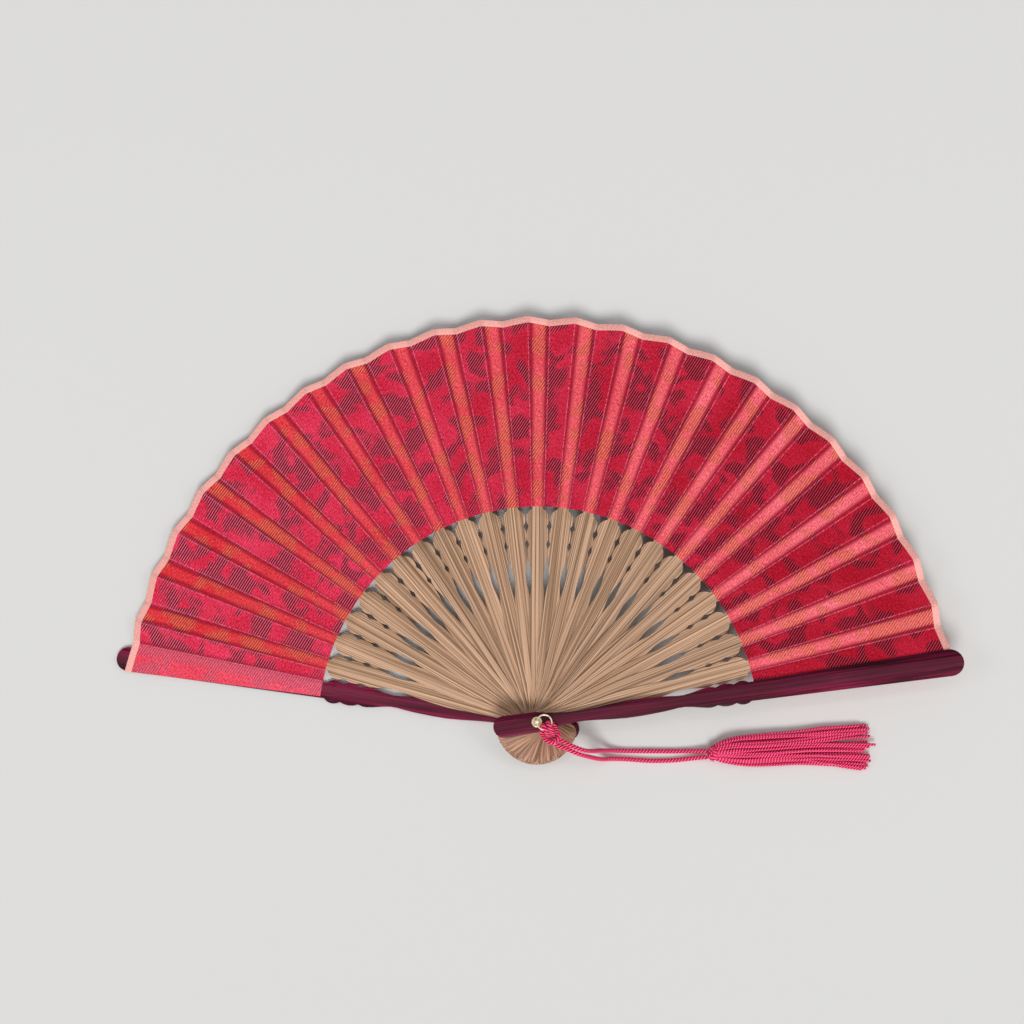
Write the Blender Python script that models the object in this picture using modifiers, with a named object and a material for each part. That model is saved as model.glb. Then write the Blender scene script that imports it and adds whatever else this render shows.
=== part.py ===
"""Folding fan: bamboo ribs between two lacquered guards on one pivot, a pleated cloth leaf and a tassel.

The fan lies open and face up. Z is the pivot's axis, +Y points along the middle rib, and the underside
of the rear guard lies at zero height. Each stick has its own layer on the pivot, so that it folds
without touching its neighbours.
"""

import math

import bmesh
import bpy
from mathutils import Matrix, Vector

# Sticks: lengths from the pivot, in metres
rib_count = 23
rear_guard_bearing = math.radians(171.3)
front_guard_bearing = math.radians(8.5)
handle_length = 0.0975
tail_reach = 0.0184
guard_tail_reach = 0.0194
tail_width = 0.0090
guard_tail_width = 0.0096
belly_width = 0.0076
head_width = 0.0105
rib_thickness = 0.00040
layer_gap = 0.00010
guard_thickness = 0.0024
guard_crown = 0.00035
guard_seat_radius = 0.0031

# Slips behind the cloth
slip_length = 0.0840
slip_root_width = 0.0048
slip_tip_width = 0.0064
slip_corner = 0.0016
slip_thickness = 0.00020
slip_twist = math.radians(11.0)
twist_length = 0.0050

# Guard blades beside the leaf
blade_length = 0.0940
front_blade_root_width = 0.0084
front_blade_tip_width = 0.0119
rear_blade_root_width = 0.0070
rear_blade_tip_width = 0.0108
front_blade_relief = 0.00125
rear_blade_relief = 0.00085
relief_ramp = 0.0025

# Edge of a stick from the pivot to its last notch: place as a share of the handle's length, width as a
# share of the belly's width
waist_edge_shares = (
    (0.00, 1.18),
    (0.085, 0.80),
    (0.21, 0.61),
    (0.41, 1.00),
    (0.576, 0.875),
    (0.676, 0.684),
    (0.785, 1.19),
    (0.826, 1.03),
)
waist_edge_steps = 3
# The middle lobe: its lower notch, its crest and its upper notch, as above
lobe_shares = ((0.826, 1.03), (0.868, 1.315), (0.912, 1.09))
lobe_steps = 4
head_steps = 6
tail_steps = 5
tip_steps = 6
twist_steps = 3
# Lines along a guard where its crown bends, as shares of its half width
crown_line_shares = (-0.75, -0.45, 0.0, 0.45, 0.75)

# Pivot
barrel_radius = 0.0010
barrel_head_radius = 0.0020
barrel_head_height = 0.0006
barrel_bore_radius = 0.00065
barrel_bore_depth = 0.0035
pivot_clearance = 0.00010
pivot_facets = 16
stud_spigot_radius = 0.00045
stud_ball_radius = 0.00125
ball_steps = 8
eye_drill_length = 0.0050
washer_radius = 0.00235
washer_rim_width = 0.00085
washer_web_height = 0.00022
washer_rim_height = 0.00075
washer_rim_round = 0.00021
washer_seat_gap = 0.00005
washer_facets = 20

# Jump ring
ring_radius = 0.00325
ring_wire_radius = 0.000375
ring_bearing = math.radians(-4.0)
ring_eye_clearance = 0.00011
ring_facets = 28
ring_wire_facets = 8

# Leaf
leaf_edge_gap = 0.0004
leaf_mountain_depth = 0.0889
leaf_valley_depth = 0.0876
binding_width = 0.0030
cloth_thickness = 0.00015
cloth_gap = 0.00004
panel_half_angle = math.radians(1.6)
seam_gap = 0.00012
rear_panel_outer_angle = math.radians(1.75)
rear_panel_inner_angle = math.radians(2.3)
front_panel_outer_angle = math.radians(1.9)
front_panel_inner_angle = math.radians(1.5)

# Cord
cord_radius = 0.00103
cord_gap = 0.00010
table_gap = 0.00002
cord_sides_resolution = 2

# Tassel
knot_radius = 0.0032
knot_waist_radius = 0.0026
knot_length = 0.0036
knot_facets = 16
knot_place = Vector((0.0783, -0.0126, 0.0033))
skirt_gap = 0.0003
skirt_length = 0.0690
skirt_end_width = 0.0219
skirt_crown_height = 0.0070
skirt_flute_depth = 0.00030
skirt_flutes = 14
# Sections of the skirt: share of its length, of its end width, of its crown height, and its drift
# sideways as a share of its length
skirt_section_shares = (
    (0.000, 0.32, 0.70, 0.009),
    (0.025, 0.40, 0.86, 0.010),
    (0.075, 0.50, 1.00, 0.013),
    (0.160, 0.605, 0.93, 0.017),
    (0.280, 0.667, 0.80, 0.021),
    (0.410, 0.688, 0.74, 0.030),
    (0.530, 0.70, 0.70, 0.037),
    (0.650, 0.755, 0.65, 0.043),
    (0.810, 0.885, 0.58, 0.047),
    (1.000, 1.00, 0.52, 0.051),
)

# How near two points may lie before they are one, and how flat two faces must be to be one
merge_distance = 0.0000005
flat_angle = math.radians(0.05)

# Worked out from the sizes above
slip_end = handle_length + slip_length
guard_reach = handle_length + blade_length
leaf_inner = handle_length + leaf_edge_gap
leaf_mountain_reach = leaf_inner + leaf_mountain_depth
leaf_valley_reach = leaf_inner + leaf_valley_depth
interval_count = rib_count + 1
pitch_angle = (rear_guard_bearing - front_guard_bearing) / interval_count
layer_pitch = rib_thickness + layer_gap
first_rib_height = guard_thickness + layer_gap + rib_thickness / 2
front_guard_height = guard_thickness + layer_gap + rib_count * layer_pitch
stack_top = front_guard_height + guard_thickness
hole_radius = (barrel_radius + pivot_clearance) / math.cos(math.pi / pivot_facets)
twist_slope = math.tan(slip_twist)
twist_start = handle_length - twist_length
relief_start = twist_start - relief_ramp / 2
cloth_lift = slip_thickness / 2 + cloth_gap + cloth_thickness / 2
cord_bed = stack_top + cord_gap + cord_radius
ring_height = cord_bed + cord_radius + cord_gap + ring_wire_radius
cord_over_ring = ring_height + ring_wire_radius + cord_gap + cord_radius
ring_centre = Matrix.Rotation(ring_bearing, 3, "Z") @ Vector((ring_radius, 0.0, ring_height))
table_bed = cord_radius + table_gap

# The cord's own route, in metres: the upper leg from the tassel's knot to the ring, the hitch round the
# ring's wire, and the lower leg back. Heights lie on the table, on the front guard and over the ring.
upper_leg_route = (
    (0.0762, -0.0117, 0.00300),
    (0.0731, -0.0116, 0.00225),
    (0.0690, -0.0116, 0.00140),
    (0.0616, -0.0117, table_bed),
    (0.0514, -0.0117, table_bed),
    (0.0411, -0.0117, table_bed),
    (0.0358, -0.0116, 0.00150),
    (0.0318, -0.0116, 0.00330),
    (0.0288, -0.0118, 0.00640),
    (0.0262, -0.0122, 0.01000),
    (0.0236, -0.0124, 0.01350),
    (0.0208, -0.0122, 0.01620),
    (0.0176, -0.0113, 0.01745),
    (0.0140, -0.0098, cord_bed),
    (0.0113, -0.0083, cord_bed),
)
lower_leg_route = (
    (0.0095, -0.0104, cord_bed),
    (0.0130, -0.0119, cord_bed),
    (0.0165, -0.0134, 0.01745),
    (0.0196, -0.0144, 0.01620),
    (0.0222, -0.0150, 0.01350),
    (0.0247, -0.0154, 0.01000),
    (0.0273, -0.0156, 0.00640),
    (0.0302, -0.0155, 0.00330),
    (0.0342, -0.0152, 0.00150),
    (0.0411, -0.0154, table_bed),
    (0.0514, -0.0160, table_bed),
    (0.0616, -0.0157, table_bed),
    (0.0690, -0.0149, 0.00140),
    (0.0731, -0.0145, 0.00225),
    (0.0762, -0.0143, 0.00300),
)
# The hitch's first half: along the hitch from the ring's centre, to its side, and height
hitch_bearing = math.radians(-60.7)
hitch_half_route = (
    (0.0083, 0.00110, cord_bed),
    (0.0070, 0.00108, cord_bed + 0.0002),
    (0.0058, 0.00107, cord_bed + 0.0012),
    (0.0046, 0.00109, cord_over_ring - 0.0007),
    (0.0032, 0.00112, cord_over_ring),
    (0.0018, 0.00114, cord_over_ring - 0.0004),
    (0.0010, 0.00117, ring_height),
    (0.0011, 0.00155, ring_height - 0.0009),
    (0.0018, 0.00235, cord_bed + 0.0001),
    (0.0030, 0.00300, cord_bed),
    (0.0048, 0.00325, cord_bed),
    (0.0065, 0.00325, cord_bed + 0.0008),
    (0.0080, 0.00280, cord_bed + 0.0018),
    (0.0093, 0.00165, cord_bed + 0.0024),
)
hitch_end_point = (0.0099, 0.0, cord_bed + 0.0026)


def remove_old_objects():
    for old in list(bpy.data.objects):
        bpy.data.objects.remove(old, do_unlink=True)


def new_collection(name):
    collection = bpy.data.collections.new(name)
    bpy.context.scene.collection.children.link(collection)
    return collection


def principled(name, colour, roughness, metallic=0.0):
    material = bpy.data.materials.new(name)
    material.use_nodes = True
    shader = material.node_tree.nodes["Principled BSDF"]
    shader.inputs["Base Color"].default_value = (*colour, 1.0)
    shader.inputs["Roughness"].default_value = roughness
    shader.inputs["Metallic"].default_value = metallic
    return material


def place(name, mesh, collection, material, height=0.0, bearing=0.0):
    """An object on the pivot's axis, at its layer's height and turned to its bearing."""
    if not mesh.materials:
        mesh.materials.append(material)
    piece = bpy.data.objects.new(name, mesh)
    piece.location = (0.0, 0.0, height)
    piece.rotation_euler = (0.0, 0.0, bearing)
    collection.objects.link(piece)
    return piece


def mesh_of_curve(curve_object):
    """The curve's surface as a closed mesh, and the curve removed."""
    graph = bpy.context.evaluated_depsgraph_get()
    mesh = bpy.data.meshes.new_from_object(curve_object.evaluated_get(graph))
    mesh.transform(curve_object.matrix_world)
    shape = bmesh.new()
    shape.from_mesh(mesh)
    bmesh.ops.remove_doubles(shape, verts=shape.verts, dist=merge_distance)
    bmesh.ops.recalc_face_normals(shape, faces=shape.faces)
    shape.to_mesh(mesh)
    shape.free()
    bpy.data.objects.remove(curve_object, do_unlink=True)
    return mesh


def add_spline(curve, points, cyclic):
    spline = curve.splines.new("POLY")
    spline.points.add(len(points) - 1)
    for spline_point, point in zip(spline.points, points):
        spline_point.co = (*point, 1.0)
    spline.use_cyclic_u = cyclic


def circle_points(radius, facets):
    return [
        (radius * math.cos(2 * math.pi * i / facets), radius * math.sin(2 * math.pi * i / facets), 0.0)
        for i in range(facets)
    ]


def flat_plate(name, outline, bore_radius, thickness):
    """A plate of the outline with a round hole at the pivot, centred on zero height."""
    curve = bpy.data.curves.new(name, "CURVE")
    curve.dimensions = "2D"
    curve.fill_mode = "BOTH"
    curve.extrude = thickness / 2
    add_spline(curve, [(x, y, 0.0) for x, y in outline], True)
    add_spline(curve, circle_points(bore_radius, pivot_facets), True)
    piece = bpy.data.objects.new(name, curve)
    bpy.context.scene.collection.objects.link(piece)
    return mesh_of_curve(piece)


def through(points, steps):
    """Points on a smooth curve (Catmull-Rom) through the given ones, the last one included."""
    knots = [Vector(p) for p in points]
    ends = [2 * knots[0] - knots[1], *knots, 2 * knots[-1] - knots[-2]]
    made = []
    for a, b, c, d in zip(ends, ends[1:], ends[2:], ends[3:]):
        for i in range(steps):
            t = i / steps
            square = 2 * a - 5 * b + 4 * c - d
            cube = 3 * b - a - 3 * c + d
            made.append((2 * b + (c - a) * t + square * t**2 + cube * t**3) / 2)
    return [*made, knots[-1]]


def tail_edge(reach, width):
    """One side of a stick's round tail, from its end to its full width."""
    radius = width / 2
    centre = radius - reach
    return [
        (centre - radius * math.cos(a), radius * math.sin(a))
        for a in (math.pi / 2 * i / tail_steps for i in range(tail_steps + 1))
    ]


def body_edge(tail):
    """One side of the body, from the pivot over the neck, belly and waist to the lower notch."""
    half = belly_width / 2
    stations = [(place_share * handle_length, share * half) for place_share, share in waist_edge_shares]
    stations[0] = (0.0, min(tail / 2, stations[0][1]))
    return [tuple(p)[:2] for p in through([(x, y, 0.0) for x, y in stations], waist_edge_steps)]


def lobe_edge():
    """The middle lobe's side, a shallow arc between its two notches."""
    start, crest, end = ((s * handle_length, w * belly_width / 2) for s, w in lobe_shares)
    made = []
    for i in range(1, lobe_steps + 1):
        x = start[0] + (end[0] - start[0]) * i / lobe_steps
        side = start if x < crest[0] else end
        away = (x - crest[0]) / (side[0] - crest[0])
        made.append((x, crest[1] - (crest[1] - side[1]) * away**2))
    return made


def head_edge(last_width):
    """The head's round side, from the upper notch to where the given width goes on."""
    radius = head_width / 2
    centre = handle_length - radius
    notch = lobe_shares[-1][0] * handle_length
    first = math.acos(max(-1.0, (notch - centre) / radius))
    last = math.asin(last_width / head_width)
    return [
        (centre + radius * math.cos(a), radius * math.sin(a))
        for a in (first + (last - first) * i / head_steps for i in range(1, head_steps + 1))
    ]


def both_sides(edge):
    """A closed outline from one side's points, the side mirrored across the stick."""
    return [*edge, *((x, -y) for x, y in reversed(edge) if y > 0.0)]


def rib_outline():
    edge = [
        *tail_edge(tail_reach, tail_width),
        *body_edge(tail_width),
        *lobe_edge(),
        *head_edge(slip_root_width),
        (slip_end - slip_corner, slip_tip_width / 2),
        (slip_end, slip_tip_width / 2 - slip_corner),
    ]
    return both_sides(edge)


def guard_outline(root_width, tip_width):
    radius = tip_width / 2
    centre = guard_reach - radius
    tip = [
        (centre + radius * math.sin(a), radius * math.cos(a))
        for a in (math.pi / 2 * i / tip_steps for i in range(tip_steps + 1))
    ]
    edge = [
        *tail_edge(guard_tail_reach, guard_tail_width),
        *body_edge(guard_tail_width),
        *lobe_edge(),
        *head_edge(root_width),
        *tip,
    ]
    return both_sides(edge[:-1] + [(edge[-1][0], 0.0)])


def ramp(x, start, length):
    return min(1.0, max(0.0, (x - start) / length))


def cut_at(shape, point, normal):
    """Cuts the mesh's faces at a plane, and marks the cut so that tidying the faces keeps it."""
    everything = [*shape.verts, *shape.edges, *shape.faces]
    made = bmesh.ops.bisect_plane(
        shape, geom=everything, dist=merge_distance, plane_co=point, plane_no=normal
    )
    for item in made["geom_cut"]:
        if isinstance(item, bmesh.types.BMEdge):
            item.seam = True


def tidy_faces(shape):
    """Joins the flat faces between the outline and the cuts, then leaves only triangles."""
    bmesh.ops.dissolve_limit(
        shape, angle_limit=flat_angle, verts=shape.verts, edges=shape.edges, delimit={"SEAM"}
    )
    bmesh.ops.triangulate(shape, faces=shape.faces)


def rib_mesh():
    """A rib: flat from tail to head, then thinned and twisted into the slip that carries the cloth."""
    mesh = flat_plate("bamboo_rib", rib_outline(), hole_radius, rib_thickness)
    shape = bmesh.new()
    shape.from_mesh(mesh)
    for i in range(twist_steps + 1):
        cut_at(shape, (twist_start + twist_length * i / twist_steps, 0, 0), (1, 0, 0))
    tidy_faces(shape)
    for vertex in shape.verts:
        turned = ramp(vertex.co.x, twist_start, twist_length)
        thinned = 1.0 + (slip_thickness / rib_thickness - 1.0) * turned
        vertex.co.z = vertex.co.z * thinned + vertex.co.y * twist_slope * turned
    shape.to_mesh(mesh)
    shape.free()
    return mesh


def guard_mesh(name, root_width, tip_width, relief, inner_side):
    """A guard with a crowned outer face, and its blade relieved on the inner side for the leaf.

    The inner side is 1 where the leaf lies above the guard and -1 where it lies below."""
    mesh = flat_plate(name, guard_outline(root_width, tip_width), hole_radius, guard_thickness)
    shape = bmesh.new()
    shape.from_mesh(mesh)
    cut_at(shape, (relief_start, 0, 0), (1, 0, 0))
    cut_at(shape, (relief_start + relief_ramp, 0, 0), (1, 0, 0))
    half = guard_tail_width / 2
    for share in crown_line_shares:
        cut_at(shape, (0, share * half, 0), (0, 1, 0))
    tidy_faces(shape)
    for vertex in shape.verts:
        if vertex.co.z * inner_side > 0.0:
            vertex.co.z -= inner_side * relief * ramp(vertex.co.x, relief_start, relief_ramp)
        elif inner_side < 0:
            away = min(1.0, abs(vertex.co.y) / half)
            on_seat = vertex.co.xy.length < guard_seat_radius
            vertex.co.z -= 0.0 if on_seat else guard_crown * away**2
    shape.to_mesh(mesh)
    shape.free()
    return mesh


def leaf_mesh(name, columns):
    """A pleated stretch of the leaf, open, from fold lines that run outwards.

    Each fold line has its angle, its sideways shift, its height at the pivot, its slope and its reach."""
    shape = bmesh.new()
    lines = []
    for angle, shift, height, slope, reach in columns:
        line = []
        for radius in (leaf_inner, reach - binding_width, reach):
            x = radius * math.cos(angle) - shift * math.sin(angle)
            y = radius * math.sin(angle) + shift * math.cos(angle)
            line.append(shape.verts.new((x, y, height + slope * radius)))
        lines.append(line)
    for left, right in zip(lines, lines[1:]):
        for i in range(len(left) - 1):
            shape.faces.new((left[i], right[i], right[i + 1], left[i + 1]))
    bmesh.ops.recalc_face_normals(shape, faces=shape.faces)
    mesh = bpy.data.meshes.new(name)
    shape.to_mesh(mesh)
    shape.free()
    return mesh


def add_cloth(name, mesh, collection, material, height, bearing):
    piece = place(name, mesh, collection, material, height, bearing)
    wall = piece.modifiers.new("cloth thickness", "SOLIDIFY")
    wall.thickness = cloth_thickness
    wall.offset = 0.0
    return piece


def turned_mesh(name, profile, facets):
    """A turned piece from its profile of radius and height, run down its outer side."""
    shape = bmesh.new()
    verts = [shape.verts.new((radius, 0.0, height)) for radius, height in profile]
    for a, b in zip(verts, verts[1:]):
        shape.edges.new((a, b))
    mesh = bpy.data.meshes.new(name)
    shape.to_mesh(mesh)
    shape.free()
    piece = bpy.data.objects.new(name, mesh)
    bpy.context.scene.collection.objects.link(piece)
    screw = piece.modifiers.new("turn", "SCREW")
    screw.steps = facets
    screw.render_steps = facets
    screw.use_merge_vertices = True
    screw.merge_threshold = merge_distance
    return baked(piece)


def baked(piece):
    """The piece's mesh with its modifiers applied, and the piece removed."""
    graph = bpy.context.evaluated_depsgraph_get()
    mesh = bpy.data.meshes.new_from_object(piece.evaluated_get(graph))
    bpy.data.objects.remove(piece, do_unlink=True)
    return mesh


def add_cutter(name, mesh, cutters, target):
    cutter = bpy.data.objects.new(name, mesh)
    cutter.hide_render = True
    cutter.display_type = "WIRE"
    cutters.objects.link(cutter)
    cut = target.modifiers.new(name, "BOOLEAN")
    cut.operation = "DIFFERENCE"
    cut.object = cutter
    return cutter


def build_sticks(fan, cutters, bamboo, lacquer):
    """The rear guard, the ribs in their layers and the front guard."""
    rear = guard_mesh("rear_guard", rear_blade_root_width, rear_blade_tip_width, rear_blade_relief, 1)
    rear_guard = place("rear_guard", rear, fan, lacquer, guard_thickness / 2, rear_guard_bearing)
    sunk = barrel_head_height + layer_gap
    seat_radius = barrel_head_radius + pivot_clearance
    seat = turned_mesh(
        "head_seat", ((0.0, sunk), (seat_radius, sunk), (seat_radius, -sunk), (0.0, -sunk)), pivot_facets
    )
    add_cutter("head_seat", seat, cutters, rear_guard)
    shared = rib_mesh()
    for i in range(1, interval_count):
        bearing = rear_guard_bearing - i * pitch_angle
        place(f"rib_{i:02d}", shared, fan, bamboo, first_rib_height + (i - 1) * layer_pitch, bearing)
    front = guard_mesh("front_guard", front_blade_root_width, front_blade_tip_width, front_blade_relief, -1)
    place("front_guard", front, fan, lacquer, front_guard_height + guard_thickness / 2, front_guard_bearing)


def build_leaf(fan, cloth):
    """The leaf's pleats, each on its rib, and its two ends glued to the guards."""
    rise = twist_slope * math.sin(panel_half_angle)
    mountain = (panel_half_angle, 0.0, cloth_lift, rise, leaf_mountain_reach)
    valley = (-panel_half_angle, 0.0, cloth_lift, -rise, leaf_valley_reach)
    next_angle = panel_half_angle - pitch_angle
    next_mountain = (next_angle, seam_gap, cloth_lift + layer_pitch, rise, leaf_mountain_reach)

    rear_top = guard_thickness - rear_blade_relief + cloth_gap + cloth_thickness / 2
    rear_height = first_rib_height - layer_pitch
    rear_lift = rear_top - rear_height
    glued = [
        (rear_panel_outer_angle, 0.0, rear_lift, 0.0, leaf_mountain_reach),
        (-rear_panel_inner_angle, 0.0, rear_lift, 0.0, leaf_valley_reach),
        next_mountain,
    ]
    add_cloth("leaf_pleat_00", leaf_mesh("rear_end", glued), fan, cloth, rear_height, rear_guard_bearing)

    shared = leaf_mesh("pleat", [mountain, valley, next_mountain])
    for i in range(1, rib_count):
        bearing = rear_guard_bearing - i * pitch_angle
        height = first_rib_height + (i - 1) * layer_pitch
        add_cloth(f"leaf_pleat_{i:02d}", shared, fan, cloth, height, bearing)

    front_bottom = front_guard_height + front_blade_relief - cloth_gap - cloth_thickness / 2
    last_height = first_rib_height + (rib_count - 1) * layer_pitch
    reach = leaf_mountain_reach
    under_angle = front_panel_outer_angle - pitch_angle
    under = (under_angle, seam_gap, front_bottom - last_height, 0.0, reach)
    last = leaf_mesh("last_pleat", [mountain, valley, under])
    last_bearing = front_guard_bearing + pitch_angle
    add_cloth(f"leaf_pleat_{rib_count:02d}", last, fan, cloth, last_height, last_bearing)
    end = [
        (front_panel_outer_angle, 0.0, 0.0, 0.0, leaf_mountain_reach),
        (-front_panel_inner_angle, 0.0, 0.0, 0.0, leaf_valley_reach),
    ]
    add_cloth("leaf_end_panel", leaf_mesh("front_end", end), fan, cloth, front_bottom, front_guard_bearing)


def build_pivot(fan, cutters, brass):
    """The barrel with its flush rear head, the rimmed washer, and the stud whose ball has the ring's eye."""
    top = stack_top
    barrel = (
        (0.0, top - barrel_bore_depth),
        (barrel_bore_radius, top - barrel_bore_depth),
        (barrel_bore_radius, top),
        (barrel_radius, top),
        (barrel_radius, barrel_head_height),
        (barrel_head_radius, barrel_head_height),
        (barrel_head_radius, 0.0),
        (0.0, 0.0),
    )
    place("pivot_barrel", turned_mesh("barrel", barrel, pivot_facets), fan, brass)

    base = top + washer_seat_gap
    rim_inner = washer_radius - washer_rim_width
    eye = stud_spigot_radius + pivot_clearance
    washer = (
        (eye, base),
        (eye, base + washer_web_height),
        (rim_inner, base + washer_web_height),
        (rim_inner + washer_rim_round, base + washer_rim_height),
        (washer_radius - washer_rim_round, base + washer_rim_height),
        (washer_radius, base + washer_rim_height - washer_rim_round),
        (washer_radius, base),
        (eye, base),
    )
    place("pivot_washer", turned_mesh("washer", washer, washer_facets), fan, brass)

    neck_angle = math.acos(stud_spigot_radius / stud_ball_radius)
    sweep = math.pi / 2 + neck_angle
    turns = [math.pi / 2 - sweep * i / ball_steps for i in range(1, ball_steps + 1)]
    ball = [(stud_ball_radius * math.cos(a), ring_height + stud_ball_radius * math.sin(a)) for a in turns]
    foot = top - barrel_bore_depth + pivot_clearance
    profile = [(0.0, ring_height + stud_ball_radius), *ball, (stud_spigot_radius, foot), (0.0, foot)]
    stud = place("pivot_stud", turned_mesh("stud", profile, pivot_facets), fan, brass, 0.0, ring_bearing)
    sagitta = ring_radius - math.sqrt(ring_radius**2 - stud_ball_radius**2)
    bpy.ops.mesh.primitive_cylinder_add(
        vertices=pivot_facets,
        radius=ring_wire_radius + sagitta / 2 + ring_eye_clearance,
        depth=eye_drill_length,
        rotation=(math.pi / 2, 0.0, 0.0),
    )
    drill = bpy.context.object
    drill.data.transform(Matrix.Rotation(math.pi / 2, 4, "X"))
    drill.data.transform(Matrix.Translation((sagitta / 2, 0.0, ring_height)))
    drill.data.transform(Matrix.Rotation(ring_bearing, 4, "Z"))
    eye_mesh = drill.data
    bpy.data.objects.remove(drill, do_unlink=True)
    add_cutter("ring_eye", eye_mesh, cutters, stud)


def build_ring(fan, brass):
    bpy.ops.mesh.primitive_torus_add(
        location=ring_centre,
        major_segments=ring_facets,
        minor_segments=ring_wire_facets,
        major_radius=ring_radius,
        minor_radius=ring_wire_radius,
    )
    ring = bpy.context.object
    ring.name = "jump_ring"
    for collection in list(ring.users_collection):
        collection.objects.unlink(ring)
    ring.data.materials.append(brass)
    fan.objects.link(ring)


def hitch_point(along, side, height):
    turn = Matrix.Rotation(hitch_bearing, 3, "Z")
    flat = turn @ Vector((along, side, 0.0))
    return Vector((ring_centre.x + flat.x, ring_centre.y + flat.y, height))


def cord_route():
    """The whole doubled cord, from the knot up to the ring, round its hitch and back to the knot."""
    first = [hitch_point(*p) for p in hitch_half_route]
    second = [hitch_point(along, -side, height) for along, side, height in reversed(hitch_half_route)]
    legs_up = [Vector(p) for p in upper_leg_route]
    legs_down = [Vector(p) for p in lower_leg_route]
    return [*legs_up, *first, hitch_point(*hitch_end_point), *second, *legs_down]


def build_cord(fan, silk):
    curve = bpy.data.curves.new("tassel_cord", "CURVE")
    curve.dimensions = "3D"
    curve.bevel_depth = cord_radius
    curve.bevel_resolution = cord_sides_resolution
    curve.use_fill_caps = True
    route = cord_route()
    add_spline(curve, [tuple(p) for p in route], False)
    piece = bpy.data.objects.new("tassel_cord", curve)
    bpy.context.scene.collection.objects.link(piece)
    place("tassel_cord", mesh_of_curve(piece), fan, silk)


def skirt_mesh():
    """The tassel's skirt: a fluted bundle that lies on the table, loft of its sections."""
    facets = 2 * skirt_flutes
    start = knot_length / 2 + skirt_gap
    shape = bmesh.new()
    rings = []
    for along, width, height, drift in skirt_section_shares:
        half_width = width * skirt_end_width / 2
        half_height = height * skirt_crown_height / 2
        ring = []
        for i in range(facets):
            a = 2 * math.pi * i / facets
            flute = skirt_flute_depth if i % 2 else 0.0
            y = (half_width - flute) * math.cos(a) + drift * skirt_length
            z = (half_height - flute) * math.sin(a) + half_height - knot_place.z
            ring.append(shape.verts.new((start + along * skirt_length, y, z)))
        rings.append(ring)
    for first, second in zip(rings, rings[1:]):
        for i in range(facets):
            j = (i + 1) % facets
            shape.faces.new((first[i], first[j], second[j], second[i]))
    shape.faces.new(rings[0])
    shape.faces.new(rings[-1])
    bmesh.ops.recalc_face_normals(shape, faces=shape.faces)
    mesh = bpy.data.meshes.new("skirt")
    shape.to_mesh(mesh)
    shape.free()
    return mesh


def build_tassel(fan, silk):
    """The knot that gathers the cord's ends, and the skirt that hangs from it."""
    half = knot_length / 2
    profile = [
        (0.0, half),
        (knot_waist_radius, half),
        (knot_radius, half / 2),
        (knot_waist_radius, 0.0),
        (knot_radius, -half / 2),
        (knot_waist_radius, -half),
        (0.0, -half),
    ]
    knot = turned_mesh("knot", profile, knot_facets)
    knot.transform(Matrix.Rotation(math.pi / 2, 4, "Y"))
    knot_piece = place("tassel_knot", knot, fan, silk)
    knot_piece.location = knot_place
    skirt = place("tassel_skirt", skirt_mesh(), fan, silk)
    skirt.location = knot_place


def main():
    remove_old_objects()
    fan = new_collection("folding_fan")
    cutters = new_collection("cutters")
    bamboo = principled("bamboo", (0.52, 0.34, 0.21), 0.5)
    lacquer = principled("maroon lacquer", (0.10, 0.012, 0.04), 0.3)
    cloth = principled("jacquard cloth", (0.55, 0.03, 0.10), 0.6)
    brass = principled("plated brass", (0.72, 0.50, 0.18), 0.25, 1.0)
    silk = principled("twisted rayon", (0.70, 0.02, 0.10), 0.5)
    build_sticks(fan, cutters, bamboo, lacquer)
    build_leaf(fan, cloth)
    build_pivot(fan, cutters, brass)
    build_ring(fan, brass)
    build_cord(fan, silk)
    build_tassel(fan, silk)


main()
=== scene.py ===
"""Folding fan: cloth, wood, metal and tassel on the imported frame.

The frame's solids give every place and size. Heights and routes below repeat the part's own, in metres,
where a piece follows them. Z is the pivot's axis, +Y points along the middle rib.
"""

import random
from collections import namedtuple
from functools import partial
from math import cos, pi, radians, sin, sqrt, tan

import bmesh
import bpy
from mathutils import Matrix, Vector


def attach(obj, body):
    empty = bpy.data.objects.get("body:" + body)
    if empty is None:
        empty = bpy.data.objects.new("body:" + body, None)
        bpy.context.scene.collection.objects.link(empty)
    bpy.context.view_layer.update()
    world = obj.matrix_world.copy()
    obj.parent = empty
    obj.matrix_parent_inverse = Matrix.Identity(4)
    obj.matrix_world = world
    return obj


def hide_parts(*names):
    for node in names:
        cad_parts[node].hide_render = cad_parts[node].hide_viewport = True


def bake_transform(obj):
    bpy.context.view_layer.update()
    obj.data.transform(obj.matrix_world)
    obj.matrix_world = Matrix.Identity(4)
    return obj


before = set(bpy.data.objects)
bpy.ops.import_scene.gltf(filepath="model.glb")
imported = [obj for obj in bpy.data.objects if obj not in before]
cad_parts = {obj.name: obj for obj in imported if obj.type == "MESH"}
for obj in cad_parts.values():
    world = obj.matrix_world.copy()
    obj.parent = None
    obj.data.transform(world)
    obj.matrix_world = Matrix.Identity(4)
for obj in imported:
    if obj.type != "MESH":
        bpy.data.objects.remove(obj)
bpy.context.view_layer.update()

bl_info = {
    "name": "Folding Fan",
    "version": (1, 0, 0),
    "blender": (4, 5, 0),
    "location": "3D View > Sidebar > Folding Fan",
    "description": "Pleated cloth, wood, metal and tassel for a folding fan's frame",
    "category": "Object",
}

# Sizes of the solids that the pieces follow, in metres
rib_count = 23
rear_guard_bearing = radians(171.3)
front_guard_bearing = radians(8.5)
pitch_angle = (rear_guard_bearing - front_guard_bearing) / (rib_count + 1)
handle_length = 0.0975
layer_pitch = 0.0005
first_rib_height = 0.0027
stack_top = 0.0164
slip_end = 0.1815
slip_root_width = 0.0048
slip_tip_width = 0.0064

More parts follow.
